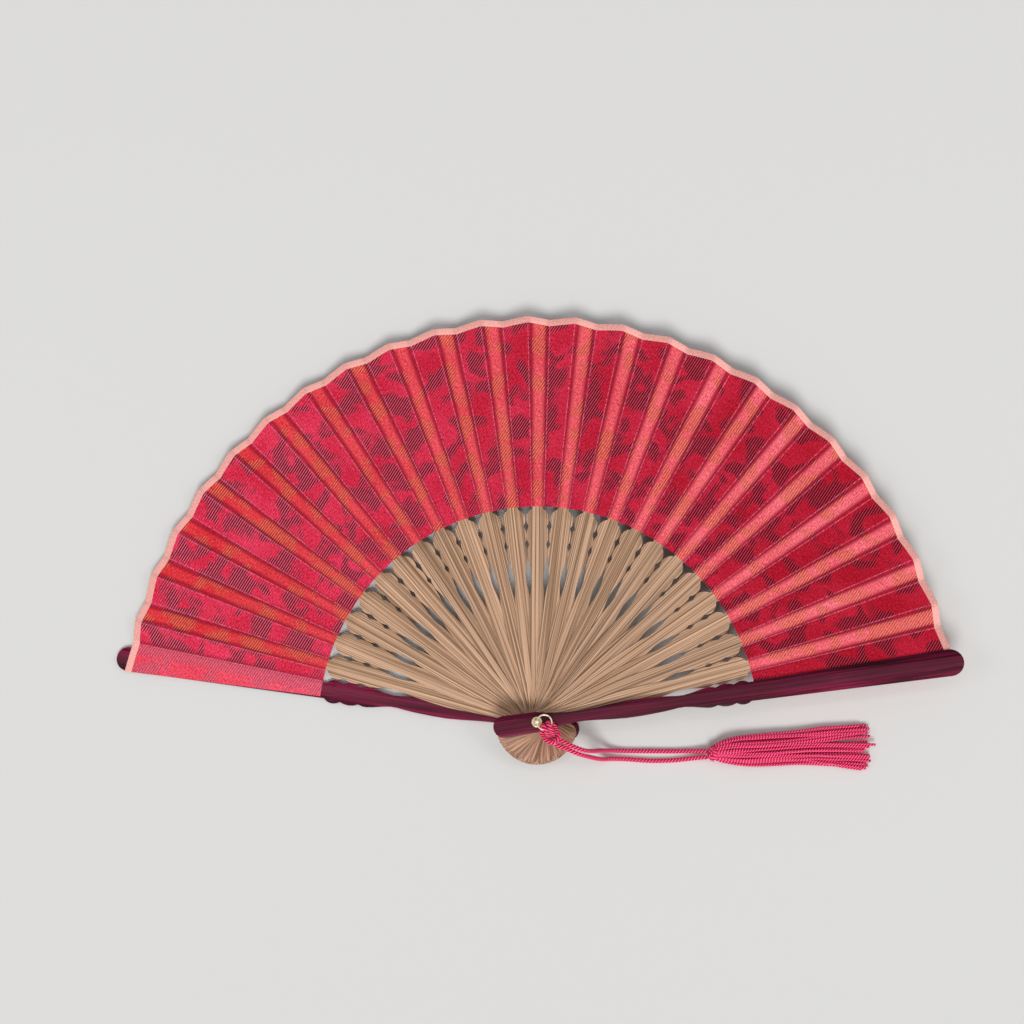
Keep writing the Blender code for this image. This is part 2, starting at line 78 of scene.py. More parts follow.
# The leaf and its fold lines: reaches from the pivot's axis, and heights
leaf_inner = 0.0979
ridge_reach = 0.1868
groove_reach = 0.1855
panel_half_angle = radians(1.6)
panel_rise = tan(radians(11.0)) * sin(panel_half_angle)
cloth_thickness = 0.00015
cloth_lift = 0.000215
ribbon_extra = 0.00004
rear_cloth_height = 0.001665
front_cloth_height = 0.015135

# Width of the cloth that is glued to each guard, at the inner and the outer edge
rear_glued_widths = (0.0078, 0.0150)
front_glued_widths = (0.0070, 0.0108)

# The pivot's metal
ring_height = 0.019035
ring_radius = 0.00325
ring_wire_radius = 0.000375
ring_bearing = radians(-4.0)
ball_radius = 0.00125
spigot_radius = 0.00045
spigot_foot = 0.013
washer_radius = 0.00235
washer_base = 0.01645
barrel_head_radius = 0.0020
barrel_head_height = 0.0006

# The cord's route: the upper leg from the tassel's knot, the hitch round the ring, and the lower leg back.
# It lies on the table, and on the front guard beside the ring
cord_radius = 0.00103
cord_bed = 0.01753
table_bed = 0.00105
cord_over_ring = ring_height + ring_wire_radius + 0.00010 + cord_radius
upper_leg_route = (
    (0.0762, -0.0117, 0.00300), (0.0731, -0.0116, 0.00225), (0.0690, -0.0116, 0.00140),
    (0.0616, -0.0117, table_bed), (0.0514, -0.0117, table_bed), (0.0411, -0.0117, table_bed),
    (0.0358, -0.0116, 0.00150), (0.0318, -0.0116, 0.00330), (0.0288, -0.0118, 0.00640),
    (0.0262, -0.0122, 0.01000), (0.0236, -0.0124, 0.01350), (0.0208, -0.0122, 0.01620),
    (0.0176, -0.0113, 0.01745), (0.0140, -0.0098, cord_bed), (0.0113, -0.0083, cord_bed),
)
lower_leg_route = (
    (0.0095, -0.0104, cord_bed), (0.0131, -0.0117, cord_bed), (0.0165, -0.0132, 0.01745),
    (0.0196, -0.0142, 0.01620), (0.0222, -0.0147, 0.01350), (0.0247, -0.0151, 0.01000),
    (0.0273, -0.0154, 0.00640), (0.0302, -0.0155, 0.00330), (0.0342, -0.0152, 0.00150),
    (0.0411, -0.0154, table_bed), (0.0514, -0.0160, table_bed), (0.0616, -0.0157, table_bed),
    (0.0690, -0.0149, 0.00140), (0.0731, -0.0145, 0.00225), (0.0762, -0.0143, 0.00300),
)
hitch_bearing = radians(-60.7)
# One half of the hitch, as distances from the ring's centre along its bearing and to its side, and heights
hitch_half_route = (
    (0.0083, 0.00110, cord_bed),
    (0.0070, 0.00108, cord_bed + 0.0002),
    (0.0058, 0.00107, cord_bed + 0.0012),
    (0.0046, 0.00109, cord_over_ring - 0.0007),
    (0.0032, 0.00112, cord_over_ring),
    (0.0018, 0.00114, cord_over_ring - 0.0004),
    (0.0010, 0.00117, ring_height),
    (0.0011, 0.00155, ring_height - 0.0009),
    (0.0018, 0.00235, cord_bed + 0.0001),
    (0.0030, 0.00300, cord_bed),
    (0.0048, 0.00325, cord_bed),
    (0.0065, 0.00325, cord_bed + 0.0008),
    (0.0080, 0.00280, cord_bed + 0.0018),
    (0.0093, 0.00165, cord_bed + 0.0024),
)
hitch_end_point = (0.0099, 0.0, cord_bed + 0.0026)

# The tassel's head and skirt
knot_place = Vector((0.0783, -0.0126, 0.0033))
skirt_start = 0.0804
skirt_length = 0.0690
skirt_end_width = 0.0219
skirt_crown_height = 0.0070
# The skirt's sections: share of its length, of its end width, of its crown height, and its drift sideways
# as a share of its length
skirt_sections = (
    (0.000, 0.32, 0.70, 0.009), (0.025, 0.40, 0.86, 0.010), (0.075, 0.50, 1.00, 0.013),
    (0.160, 0.605, 0.93, 0.017), (0.280, 0.667, 0.80, 0.021), (0.410, 0.688, 0.74, 0.030),
    (0.530, 0.70, 0.70, 0.037), (0.650, 0.755, 0.65, 0.043), (0.810, 0.885, 0.58, 0.047),
    (1.000, 1.00, 0.52, 0.051),
)

# Corners that lie closer than this are one
merge_distance = 0.0000005

# One ply's outline in a strand of two plies and in the cord of three, and a strand's pointed tip, as shares
# of the radius. The steps are the distances between the sections of a strand
two_ply_lobe = (0.78, 0.95, 1.0, 0.95)
cord_lobe = (0.66, 0.91, 1.0, 1.0, 0.91)
strand_tip = 0.35
cord_step = 0.0002
skirt_step = 0.00032

# A strand over the knot, from its middle
crossing_route = (
    (-0.0019, -0.0022, 0.0010),
    (-0.0010, -0.0009, 0.0024),
    (0.0000, 0.0007, 0.0026),
    (0.0008, 0.0022, 0.0016),
    (0.0011, 0.0027, -0.0002),
)

# Edges sharper than this are rounded
sharp_edge = radians(40.0)

# Where the camera looks
view_middle = Vector((-0.01153, 0.09672, 0.0))


def linear(hex_colour):
    """An sRGB hex colour as Blender's linear red, green and blue."""
    made = []
    for i in (0, 2, 4):
        value = int(hex_colour[i : i + 2], 16) / 255
        made.append(value / 12.92 if value <= 0.04045 else ((value + 0.055) / 1.055) ** 2.4)
    return tuple(made)


def colour_setting(name, description, hex_colour):
    """A colour property whose default is the hex colour."""
    return bpy.props.FloatVectorProperty(
        name=name, description=description, default=linear(hex_colour), min=0.0, max=1.0, subtype="COLOR"
    )


def length_setting(name, description, default, **limits):
    """A length property in metres."""
    return bpy.props.FloatProperty(
        name=name, description=description, default=default, unit="LENGTH", **limits
    )


def angle_setting(name, description, degrees):
    """An angle property whose default is given in degrees."""
    return bpy.props.FloatProperty(
        name=name, description=description, default=radians(degrees), subtype="ANGLE"
    )


def strength_setting(name, description, default, **unit):
    """A property for the strength of a light, or for its power, which has a unit."""
    return bpy.props.FloatProperty(name=name, description=description, default=default, min=0.0, **unit)


class FanStageSettings(bpy.types.PropertyGroup):
    camera_distance: length_setting(
        "Camera distance", "From the middle of the view to the camera", 0.9, min=0.3
    )
    camera_elevation: angle_setting("Camera elevation", "Angle of the view above the table", 80.27)
    camera_azimuth: angle_setting("Camera azimuth", "Turn of the view about the pivot's axis", -0.32)
    camera_roll: angle_setting("Camera roll", "Turn of the camera about its line of sight", 0.68)
    camera_lens: bpy.props.FloatProperty(
        name="Lens",
        description="Focal length on a 36 mm wide sensor",
        default=69.16,
        min=10.0,
        unit="CAMERA",
    )
    floor_colour: colour_setting("Floor colour", "Plain pale paper under the fan", "DDDCDA")
    key_strength: strength_setting("Key light", "Strength of the soft light from the near side", 2.1)
    strip_power: strength_setting("Overhead strip", "Power of the strip over the fan", 1.0, unit="POWER")
    side_power: strength_setting("Side panels", "Power of each soft panel at the sides", 1.8, unit="POWER")
    sky_strength: strength_setting("Surrounding light", "Strength of the even light from all round", 0.30)


class FanStickSettings(bpy.types.PropertyGroup):
    bamboo_colour: colour_setting("Bamboo", "Main colour of the ribs", "B58E70")
    fibre_colour: colour_setting("Bamboo fibres", "Darker fibres that run along the ribs", "7A5638")
    lacquer_colour: colour_setting("Lacquer", "Main colour of the guards", "5B0227")
    rib_edge_rounding: length_setting(
        "Rib edge rounding", "Width of the ribs' rounded edges", 0.00008, min=0.00002, max=0.00012
    )
    guard_edge_rounding: length_setting(
        "Guard edge rounding", "Width of the guards' rounded edges", 0.00035, min=0.00005, max=0.0006
    )


class FanLeafSettings(bpy.types.PropertyGroup):
    ground_colour: colour_setting("Ground", "Crimson of the cloth between the ribs", "B40828")
    rose_colour: colour_setting("Rose", "Dusty rose threads of the ground", "E43A5C")
    stripe_colour: colour_setting("Over the ribs", "Sheer cloth where a pale rib lies behind it", "E63A46")
    margin_colour: colour_setting("Beside the ribs", "Sheer cloth on both sides of a rib", "8E0E2C")
    guard_stripe_colour: colour_setting("Over the guard", "Cloth where the guard lies behind it", "F05A74")
    stripe_thread: colour_setting("Hatch over the ribs", "Orange threads where a rib lies behind", "F0865C")
    hatch_ground: colour_setting("Hatch ground", "Dark open weave of the hatched figures", "4C0212")
    hatch_thread: colour_setting("Hatch threads", "Pale threads of the hatched figures", "D4506A")
    # Partly wear and partly a painted highlight along each fold
    ridge_colour: colour_setting("Worn ridges", "Cloth along the worn ridge of a fold", "DE7088")
    binding_colour: colour_setting("Binding", "Ribbon along the outer edge", "F2AAA0")
    binding_width: length_setting("Binding width", "Width of the outer edge's ribbon", 0.0030, min=0.001)
    hatch_spacing: length_setting("Hatch spacing", "Distance between its threads", 0.00105, min=0.0003)


class FanPivotSettings(bpy.types.PropertyGroup):
    # The pale brass, only part metallic, stands in for bright reflections: a painted reflection
    brass_colour: colour_setting("Plated brass", "Colour of the ring, the stud and the washer", "FFF0CA")
    seam_groove: length_setting("Ring seam", "Depth of the groove at the wire's ends", 0.00007, min=0.0)


class FanTasselSettings(bpy.types.PropertyGroup):
    # Both lay lengths are drawn longer than the real ones so that the twist shows
    silk_colour: colour_setting("Rayon", "Colour of the cord and the tassel", "FF0E5A")
    strand_radius: length_setting("Strand radius", "Half a strand's thickness", 0.00066, min=0.0002)
    cord_lay_length: length_setting("Cord lay length", "One turn of the cord's plies", 0.0044, min=0.001)
    strand_lay_length: length_setting("Strand lay length", "One turn of its plies", 0.0026, min=0.001)


def settings_group(name, description, group):
    return bpy.props.PointerProperty(name=name, description=description, type=group)


class FanSettings(bpy.types.PropertyGroup):
    stage: settings_group("Stage", "Camera, floor and light", FanStageSettings)
    sticks: settings_group("Sticks", "Ribs and guards", FanStickSettings)
    leaf: settings_group("Leaf", "Pleated cloth", FanLeafSettings)
    pivot: settings_group("Pivot", "Metal at the pivot", FanPivotSettings)
    tassel: settings_group("Tassel", "Cord and tassel", FanTasselSettings)


def deselect_all():
    """Leaves edit mode and deselects everything."""
    if bpy.context.object and bpy.context.object.mode != "OBJECT":
        bpy.ops.object.mode_set(mode="OBJECT")
    bpy.ops.object.select_all(action="DESELECT")


def choose(piece):
    """Makes the piece the only one selected, and the active one."""
    deselect_all()
    piece.select_set(True)
    bpy.context.view_layer.objects.active = piece


def new_object(name, mesh):
    piece = bpy.data.objects.new(name, mesh)
    bpy.context.scene.collection.objects.link(piece)
    return piece


def start_editing(piece):
    choose(piece)
    bpy.ops.object.mode_set(mode="EDIT")


def select_where(piece, kind, test):
    """Selects the vertices, edges or faces that pass the test, and nothing else, in edit mode."""
    bpy.ops.mesh.select_mode(type={"verts": "VERT", "edges": "EDGE", "faces": "FACE"}[kind])
    bpy.ops.mesh.select_all(action="DESELECT")
    shape = bmesh.from_edit_mesh(piece.data)
    for item in getattr(shape, kind):
        if test(item):
            item.select_set(True)
    shape.select_flush_mode()
    bmesh.update_edit_mesh(piece.data)


def middle(item):
    """The middle of an edge or a face."""
    return sum((vertex.co for vertex in item.verts), Vector()) / len(item.verts)


def place_in_mesh(piece):
    """Leaves the object at the origin, unturned, with its place in its mesh."""
    choose(piece)
    bpy.ops.object.transform_apply(location=True, rotation=True, scale=True)


def just_made(name):
    """The object that an operator has just made, named, and with its place in its mesh."""
    piece = bpy.context.object
    piece.name = name
    place_in_mesh(piece)
    return piece


def apply_modifiers(piece):
    choose(piece)
    for modifier in list(piece.modifiers):
        bpy.ops.object.modifier_apply(modifier=modifier.name)


def round_edges(piece, width, segments):
    """Rounds the piece's sharp edges."""
    rounding = piece.modifiers.new("rounded edges", "BEVEL")
    rounding.width = width
    rounding.segments = segments
    rounding.limit_method = "ANGLE"
    rounding.angle_limit = sharp_edge
    apply_modifiers(piece)


def smooth(piece, degrees):
    choose(piece)
    bpy.ops.object.shade_smooth_by_angle(angle=radians(degrees))


def finish_piece(piece, material, body, node):
    """Gives the piece its material and its body, and hides the solid that it stands for.

    A piece that lies between two bodies gets no body here."""
    if material is not None:
        piece.data.materials.clear()
        piece.data.materials.append(material)
    if body is not None:
        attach(piece, body)
    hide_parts(node)


# For a mix node that blends colours, with its factor in input 0 and its two colours in inputs 6 and 7
colour_mix = {"output": 2, "data_type": "RGBA"}
# For a map range node that eases in and out
eased = {"interpolation_type": "SMOOTHSTEP"}


def fill_inputs(tree, node, inputs):
    """Gives a node's inputs, by name or number, their values or the outputs to link them to."""
    for name, value in inputs.items():
        socket = node.inputs[name]
        if isinstance(value, bpy.types.NodeSocket):
            tree.links.new(value, socket)
        elif socket.type == "RGBA" and len(value) == 3:
            socket.default_value = (*value, 1.0)
        else:
            socket.default_value = value


def add_node(tree, kind, inputs=None, output=0, stops=(), **fields):
    """Adds a node and gives back one of its outputs, or the node itself where output is None.

    The kind is the node's type without its first word, ShaderNode, and stops are a colour ramp's."""
    node = tree.nodes.new("ShaderNode" + kind)
    for name, value in fields.items():
        setattr(node, name, value)
    fill_inputs(tree, node, inputs or {})
    for i, (place, colour) in enumerate(stops):
        ramp = node.color_ramp
        stop = ramp.elements[i] if i < len(ramp.elements) else ramp.elements.new(place)
        stop.position = place
        stop.color = (*colour, 1.0)
    return node if output is None else node.outputs[output]


def new_material(name, colour, roughness, constants):
    """A material with constants on its shader's sockets, add_node for its own tree, and a function that
    fills its shader's inputs."""
    material = bpy.data.materials.new(name)
    material.use_nodes = True
    tree = material.node_tree
    fill = partial(fill_inputs, tree, tree.nodes["Principled BSDF"])
    fill({"Base Color": colour, "Roughness": roughness, **constants})
    return material, partial(add_node, tree), fill


def weighted(add, first, first_share, second, second_share):
    """Two values, each times its share, added up."""
    part = add("Math", {0: first, 1: first_share}, operation="MULTIPLY")
    return add("Math", {0: second, 1: second_share, 2: part}, operation="MULTIPLY_ADD")


def laid_over(add, under, over, share, most):
    """The colour under, with the colour over laid on it by the share times its most."""
    share = add("Math", {0: share, 1: most}, operation="MULTIPLY")
    return add("Mix", {0: share, 6: under, 7: over}, **colour_mix)


def two_grains(add, place, fine_scale, fine_noise, broad_scale, broad_detail, fine_share):
    """Fine streaks and broad bands along a stick, and both added up by the fine ones' share."""
    stretched = add("Mapping", {0: place, "Scale": fine_scale})
    fine = add("TexNoise", {0: stretched, "Scale": 1.0, **fine_noise})
    stretched = add("Mapping", {0: place, "Scale": broad_scale})
    broad = add("TexNoise", {0: stretched, "Scale": 1.0, "Detail": broad_detail})
    return fine, broad, weighted(add, broad, 1.0 - fine_share, fine, fine_share)


def scaled(colour, share, lift=0.0):
    """The colour made lighter or darker by the share and the lift, kept in range."""
    return tuple(min(1.0, value * share + lift) for value in colour)


def through(points, steps):
    """Points on a smooth cubic curve through the given ones, the last one included."""
    knots = [Vector(p) for p in points]
    ends = [2 * knots[0] - knots[1], *knots, 2 * knots[-1] - knots[-2]]
    made = []
    for a, b, c, d in zip(ends, ends[1:], ends[2:], ends[3:]):
        for i in range(steps):
            t = i / steps
            square = 2 * a - 5 * b + 4 * c - d
            cube = 3 * b - a - 3 * c + d
            made.append((2 * b + (c - a) * t + square * t**2 + cube * t**3) / 2)
    return [*made, knots[-1]]


def even_points(route, step):
    """Points at even distances along the route, both ends kept, and their distance apart."""
    run = [0.0]
    for a, b in zip(route, route[1:]):
        run.append(run[-1] + (b - a).length)
    count = max(2, round(run[-1] / step))
    made = []
    at = 0
    for i in range(count + 1):
        want = run[-1] * i / count
        while at < len(route) - 2 and run[at + 1] < want:
            at += 1
        span = run[at + 1] - run[at]
        made.append(route[at].lerp(route[at + 1], min(1.0, (want - run[at]) / span)))
    return made, run[-1] / count


def add_twisted_strand(shape, weave, route, radius, lobe, plies, lay_length, step, start=0.0):
    """Adds a closed strand of twisted plies along the route.

    The lobe gives one ply's outline as shares of the radius, and weave is the layer for the distance
    along the strand, in metres, and the share of a turn round it. The twist starts at the start angle."""
    points, spacing = even_points(route, step)
    sides = plies * len(lobe)
    along = (points[1] - points[0]).normalized()
    across = along.orthogonal().normalized()
    rings = []
    for i, point in enumerate(points):
        along = (points[min(i + 1, len(points) - 1)] - points[max(i - 1, 0)]).normalized()
        across = (across - along * across.dot(along)).normalized()
        up = along.cross(across)
        turn = start - 2 * pi * i * spacing / lay_length
        ring = []
        for k in range(sides):
            a = 2 * pi * k / sides + turn
            out = radius * lobe[k % len(lobe)]
            ring.append(shape.verts.new(point + (across * cos(a) + up * sin(a)) * out))
        rings.append(ring)
    for i, (first, second) in enumerate(zip(rings, rings[1:])):
        for k in range(sides):
            j = (k + 1) % sides
            face = shape.faces.new((first[k], first[j], second[j], second[k]))
            corners = ((i, k), (i, k + 1), (i + 1, k + 1), (i + 1, k))
            for loop, (ring_at, side_at) in zip(face.loops, corners):
                loop[weave].uv = (ring_at * spacing, side_at / sides)
            face.smooth = True
    # Each end is a low cone
    for ring, point, sign in ((rings[0], points[0], -1), (rings[-1], points[-1], 1)):
        inward = points[1] - points[0] if sign < 0 else points[-1] - points[-2]
        end = shape.verts.new(point + inward.normalized() * sign * radius * strand_tip)
        for k in range(sides):
            j = (k + 1) % sides
            face = shape.faces.new((ring[j], ring[k], end) if sign < 0 else (ring[k], ring[j], end))
            for loop in face.loops:
                loop[weave].uv = (0.0 if sign < 0 else spacing * len(points), k / sides)


def twisted_piece(name, node, kind, colour, strands):
    """A piece of twisted rayon, from the values that each of its strands is added with.

    Its strands all have as many plies as its first one."""
    shape = bmesh.new()
    weave = shape.loops.layers.uv.new("weave")
    for strand in strands:
        add_twisted_strand(shape, weave, *strand)
    mesh = bpy.data.meshes.new(name)
    shape.to_mesh(mesh)
    shape.free()
    piece = new_object(name, mesh)
    plies = strands[0][3]
    finish_piece(piece, rayon_material(f"twisted rayon {kind}", colour, plies), "tassel", node)
    return piece


def plate(piece, degrees, kind, roughness, body, node):
    """Smooths a metal piece, plates it and hides the solid that it stands for."""
    smooth(piece, degrees)
    colour = bpy.context.scene.folding_fan.pivot.brass_colour
    material = brass_material(f"gold plated brass {kind}", colour, roughness)
    finish_piece(piece, material, body, node)


def rayon_material(name, colour, plies):
    """Twisted rayon: bright, smooth threads laid in plies, which shine along the plies' crests."""
    material, add, fill = new_material(name, colour, 0.34, {"Specular IOR Level": 0.20})
    weave = add("UVMap", uv_map="weave")
    around = add("SeparateXYZ", {0: weave}, 1)
    # One crest for each ply: painted shade in the hollows between plies, a painted highlight on the crests
    turn = add("Math", {0: around, 1: 2 * pi * plies}, operation="MULTIPLY")
    wave = add("Math", {0: turn}, operation="COSINE")
    crest = add("Math", {0: wave, 1: -0.5, 2: 0.5}, operation="MULTIPLY_ADD")
    # Threads 0.1 mm thick run along the plies
    stretched = add("Mapping", {0: weave, "Scale": (900.0, 40.0, 1.0)})
    threads = add("TexNoise", {0: stretched, "Scale": 1.0, "Detail": 3.0})
    shade = add("Math", {0: threads, 1: 0.35, 2: -0.17}, operation="MULTIPLY_ADD")
    shade = add("Math", {0: crest, 1: shade}, operation="ADD")
    hollow, deep, pale = scaled(colour, 0.20), scaled(colour, 0.70), scaled(colour, 1.9, 0.16)
    tone = add("ValToRGB", {0: shade}, stops=((0.0, hollow), (0.30, deep), (0.58, colour), (0.98, pale)))
    bump = add("Bump", {"Height": shade, "Strength": 0.4, "Distance": 0.0002})
    fill({"Base Color": tone, "Normal": bump})
    return material


def brass_material(name, colour, roughness):
    """Plated brass: wire and turned parts, part metallic, their pale colour a painted reflection."""
    material, add, fill = new_material(name, colour, roughness, {"Metallic": 0.30})
    place = add("TexCoord", output="Object")
    # Marks about 1 mm long
    marks = add("TexNoise", {0: place, "Scale": 900.0, "Detail": 4.0})
    tone = add("ValToRGB", {0: marks}, stops=((0.35, scaled(colour, 0.72)), (0.65, colour)))
    rough = add("MapRange", {"Value": marks, "To Min": roughness - 0.06, "To Max": roughness + 0.12})
    bump = add("Bump", {"Height": marks, "Strength": 0.08, "Distance": 0.0001})
    fill({"Base Color": tone, "Roughness": rough, "Normal": bump})
    return material


def lacquer_material(name, colour, bearing):
    """Lacquered wood: dark stain in the grain under a satin coat, painted sheen along the stick's middle."""
    coat = {"Specular IOR Level": 0.12, "Coat Weight": 0.06, "Coat Roughness": 0.20}
    material, add, fill = new_material(name, colour, 0.40, coat)
    place = add("TexCoord", output="Object")
    turned = add("Mapping", {0: place, "Rotation": (0.0, 0.0, -bearing)})
    # Grain streaks about 0.6 mm across and 40 mm long, and broad bands about 3 mm across
    streaks = {"Detail": 5.0, "Roughness": 0.65, "Distortion": 0.3}
    grain, bands, shade = two_grains(
        add, turned, (24.0, 1500.0, 500.0), streaks, (14.0, 300.0, 100.0), 2.0, 0.60
    )
    stain, deep, light = scaled(colour, 0.15), scaled(colour, 0.50), scaled(colour, 2.2, 0.008)
    tone = add("ValToRGB", {0: shade}, stops=((0.41, stain), (0.47, deep), (0.52, colour), (0.60, light)))
    # Painted sheen of the satin coat, paler within 3.4 mm of the stick's middle, in broken bands
    across = add("SeparateXYZ", {0: turned}, 1)
    across = add("Math", {0: across}, operation="ABSOLUTE")
    painted_sheen = {"Value": across, "From Min": 0.0034, "From Max": 0.0008, "To Max": 1.0}
    painted_sheen = add("MapRange", painted_sheen, **eased)
    tone = laid_over(add, tone, scaled(colour, 1.3, 0.026), painted_sheen, bands)
    rough = add("MapRange", {"Value": grain, "To Min": 0.30, "To Max": 0.52})
    bump = add("Bump", {"Height": grain, "Strength": 0.3, "Distance": 0.0001})
    fill({"Base Color": tone, "Roughness": rough, "Normal": bump})
    return material


def bamboo_material(name, colour, fibre, bearing, tone, seed):
    """Split bamboo, sanded: dark and pale fibres run its whole length, and each rib has its own tone."""
    colour = scaled(colour, tone)
    fibre = scaled(fibre, tone)
    material, add, fill = new_material(name, colour, 0.55, {"Specular IOR Level": 0.35})
    place = add("TexCoord", output="Object")
    turned = add("Mapping", {0: place, "Rotation": (0.0, 0.0, -bearing), "Location": (0, 0, seed)})
    # Fibres are drawn about 0.5 mm apart, coarser than the real ones, so that they show at arm's length
    fibres, _, shade = two_grains(
        add, turned, (8.0, 2100.0, 60.0), {"Detail": 2.0, "Roughness": 0.7}, (5.0, 420.0, 60.0), 1.0, 0.86
    )
    deep, pale = scaled(colour, 0.66), scaled(colour, 1.40, 0.05)
    drawn = add("ValToRGB", {0: shade}, stops=((0.36, fibre), (0.45, deep), (0.51, colour), (0.60, pale)))
    # Painted shade on the tails, where the stacked ribs step down: a little darker and redder
    height = add("SeparateXYZ", {0: place}, 1)
    tail = add("MapRange", {"Value": height, "From Min": 0.003, "From Max": -0.003})
    painted_tail_shade = {0: tail, 6: drawn, 7: (0.88, 0.80, 0.82)}
    drawn = add("Mix", painted_tail_shade, **colour_mix, blend_type="MULTIPLY")
    rough = add("MapRange", {"Value": fibres, "To Min": 0.62, "To Max": 0.45})
    bump = add("Bump", {"Height": shade, "Strength": 0.3, "Distance": 0.00008})
    fill({"Base Color": drawn, "Roughness": rough, "Normal": bump})
    return material


def cloth_material(name, leaf, over_stick, stripe_thread, hatched_band):
    """Sheer figured cloth: bright where a pale stick lies behind it, with hatched figures in open weave.

    The figures are plain clouds strewn at random, a common woven ornament. The hatched band is the width
    in millimetres of a strip beside each fold that is hatched over the stick too."""
    sheen = {"Specular IOR Level": 0.10, "Sheen Weight": 0.01, "Sheen Roughness": 0.5}
    material, add, fill = new_material(name, leaf.ground_colour, 0.65, sheen)
    weave = add("UVMap", uv_map="weave")
    flat = add("VectorMath", {0: weave, 1: (1000.0, 1000.0, 0.0)}, operation="MULTIPLY")
    to_fold = add("Attribute", output="Fac", attribute_name="to_fold")
    to_slip = add("Attribute", output="Fac", attribute_name="to_slip")

    # Clouds 8 to 14 mm across for the hatch, slow changes of tone 20 mm across, and a fine grain of 0.8 mm,
    # which is coarser than the real threads so that it shows
    clouds = add("TexNoise", {0: flat, "Scale": 0.10, "Detail": 1.5, "Distortion": 0.5})
    slow = add("TexNoise", {0: flat, "Scale": 0.05, "Detail": 2.0})
    slow = add("MapRange", {"Value": slow, "From Min": 0.35, "From Max": 0.65})
    turned = add("Mapping", {0: flat, "Rotation": (0.0, 0.0, radians(-57.0))})
    threads = add("Mapping", {0: turned, "Scale": (0.8, 1.9, 1.0)})
    grain = add("TexNoise", {0: threads, "Scale": 1.0, "Detail": 2.0, "Roughness": 0.7})
    grain = add("MapRange", {"Value": grain, "From Min": 0.34, "From Max": 0.66})

    # The hatch's edge is ragged, and its threads are drawn coarser than the real ones
    clouds = add("Math", {0: grain, 1: 0.065, 2: clouds}, operation="MULTIPLY_ADD")
    patch = add("MapRange", {"Value": clouds, "From Min": 0.495, "From Max": 0.61}, **eased)
    lanes = add("SeparateXYZ", {0: turned}, 1)
    phase = add("Math", {0: lanes, 1: 2 * pi / (1000.0 * leaf.hatch_spacing)}, operation="MULTIPLY")
    wave = add("Math", {0: phase}, operation="SINE")
    thread = add("MapRange", {"Value": wave, "From Min": 0.1, "From Max": 0.8})

    # The open cloth between the sticks
    share = weighted(add, slow, 0.45, grain, 0.50)
    ground = add("Mix", {0: share, 6: leaf.ground_colour, 7: leaf.rose_colour}, **colour_mix)
    hatched = add("Mix", {0: thread, 6: leaf.hatch_ground, 7: leaf.hatch_thread}, **colour_mix)
    ground = laid_over(add, ground, hatched, patch, 0.94)

    # Over a stick it is bright along the middle and deep red towards the stick's edges
    ragged = add("Math", {0: grain, 1: 0.5, 2: -0.25}, operation="MULTIPLY_ADD")
    ragged = add("Math", {0: ragged, 1: to_slip}, operation="ADD")
    edge = add("MapRange", {"Value": ragged, "From Min": -1.6, "From Max": -0.1}, **eased)
    share = weighted(add, slow, 0.35, grain, 0.65)
    deep, bright = scaled(over_stick, 0.80), scaled(over_stick, 1.08, 0.075)
    stripe = add("Mix", {0: share, 6: deep, 7: bright}, **colour_mix)
    stripe = laid_over(add, stripe, scaled(over_stick, 0.50), edge, 0.8)
    # Painted light and shade along the leaf: open cloth paler at its left end, stripes at its right
    place = add("TexCoord", output="Object")
    along = add("SeparateXYZ", {0: place})
    along = add("MapRange", {"Value": along, "From Min": -0.15, "From Max": 0.12})
    painted_light_tint = add("Mix", {0: along, 6: (1.0, 0.50, 0.55), 7: (1.08, 1.75, 1.80)}, **colour_mix)
    stripe = add("VectorMath", {0: stripe, 1: painted_light_tint}, operation="MULTIPLY")
    painted_light_tint = add("Mix", {0: along, 6: (1.12, 1.35, 1.25), 7: (0.82, 0.45, 0.50)}, **colour_mix)
    ground = add("VectorMath", {0: ground, 1: painted_light_tint}, operation="MULTIPLY")
    # The hatch crosses a stripe in the figures and in the hatched band
    band = {"Value": to_fold, "From Min": hatched_band + 0.8, "From Max": hatched_band - 0.8}
    band = add("MapRange", band)
    band = add("Math", {0: band, 1: patch}, operation="MAXIMUM")
    stripe = laid_over(add, stripe, scaled(over_stick, 0.42), band, 0.45)
    share = add("Math", {0: band, 1: thread}, operation="MULTIPLY")
    stripe = laid_over(add, stripe, stripe_thread, share, 0.75)

    # Beside a stick it lies in the stick's shade
    shaded = add("MapRange", {"Value": ragged, "From Min": 0.2, "From Max": 2.2})
    share = add("Math", {0: shaded, 1: -0.7, 2: 0.7}, operation="MULTIPLY_ADD")
    ground = add("Mix", {0: share, 6: ground, 7: leaf.margin_colour}, **colour_mix)
    beside = add("MapRange", {"Value": ragged, "From Min": -0.4, "From Max": 0.35}, **eased)
    colour = add("Mix", {0: beside, 6: stripe, 7: ground}, **colour_mix)

    # Each fold has a fine broken pale line, partly wear and partly a painted highlight along the crease
    worn_and_highlit = add("MapRange", {"Value": to_fold, "From Min": 0.28, "From Max": 0.08})
    colour = laid_over(add, colour, leaf.ridge_colour, worn_and_highlit, grain)
    # A faint twill runs all over it
    tone = add("MapRange", {"Value": grain, "To Min": 0.72, "To Max": 1.28})
    tone = add("Math", {0: wave, 1: 0.10, 2: tone}, operation="MULTIPLY_ADD")
    colour = add("VectorMath", {0: colour, "Scale": tone}, operation="SCALE")
    twill = add("Math", {0: wave, 1: 0.3, 2: grain}, operation="MULTIPLY_ADD")
    bump = add("Bump", {"Height": twill, "Strength": 0.25, "Distance": 0.0001})
    fill({"Base Color": colour, "Normal": bump})
    return material


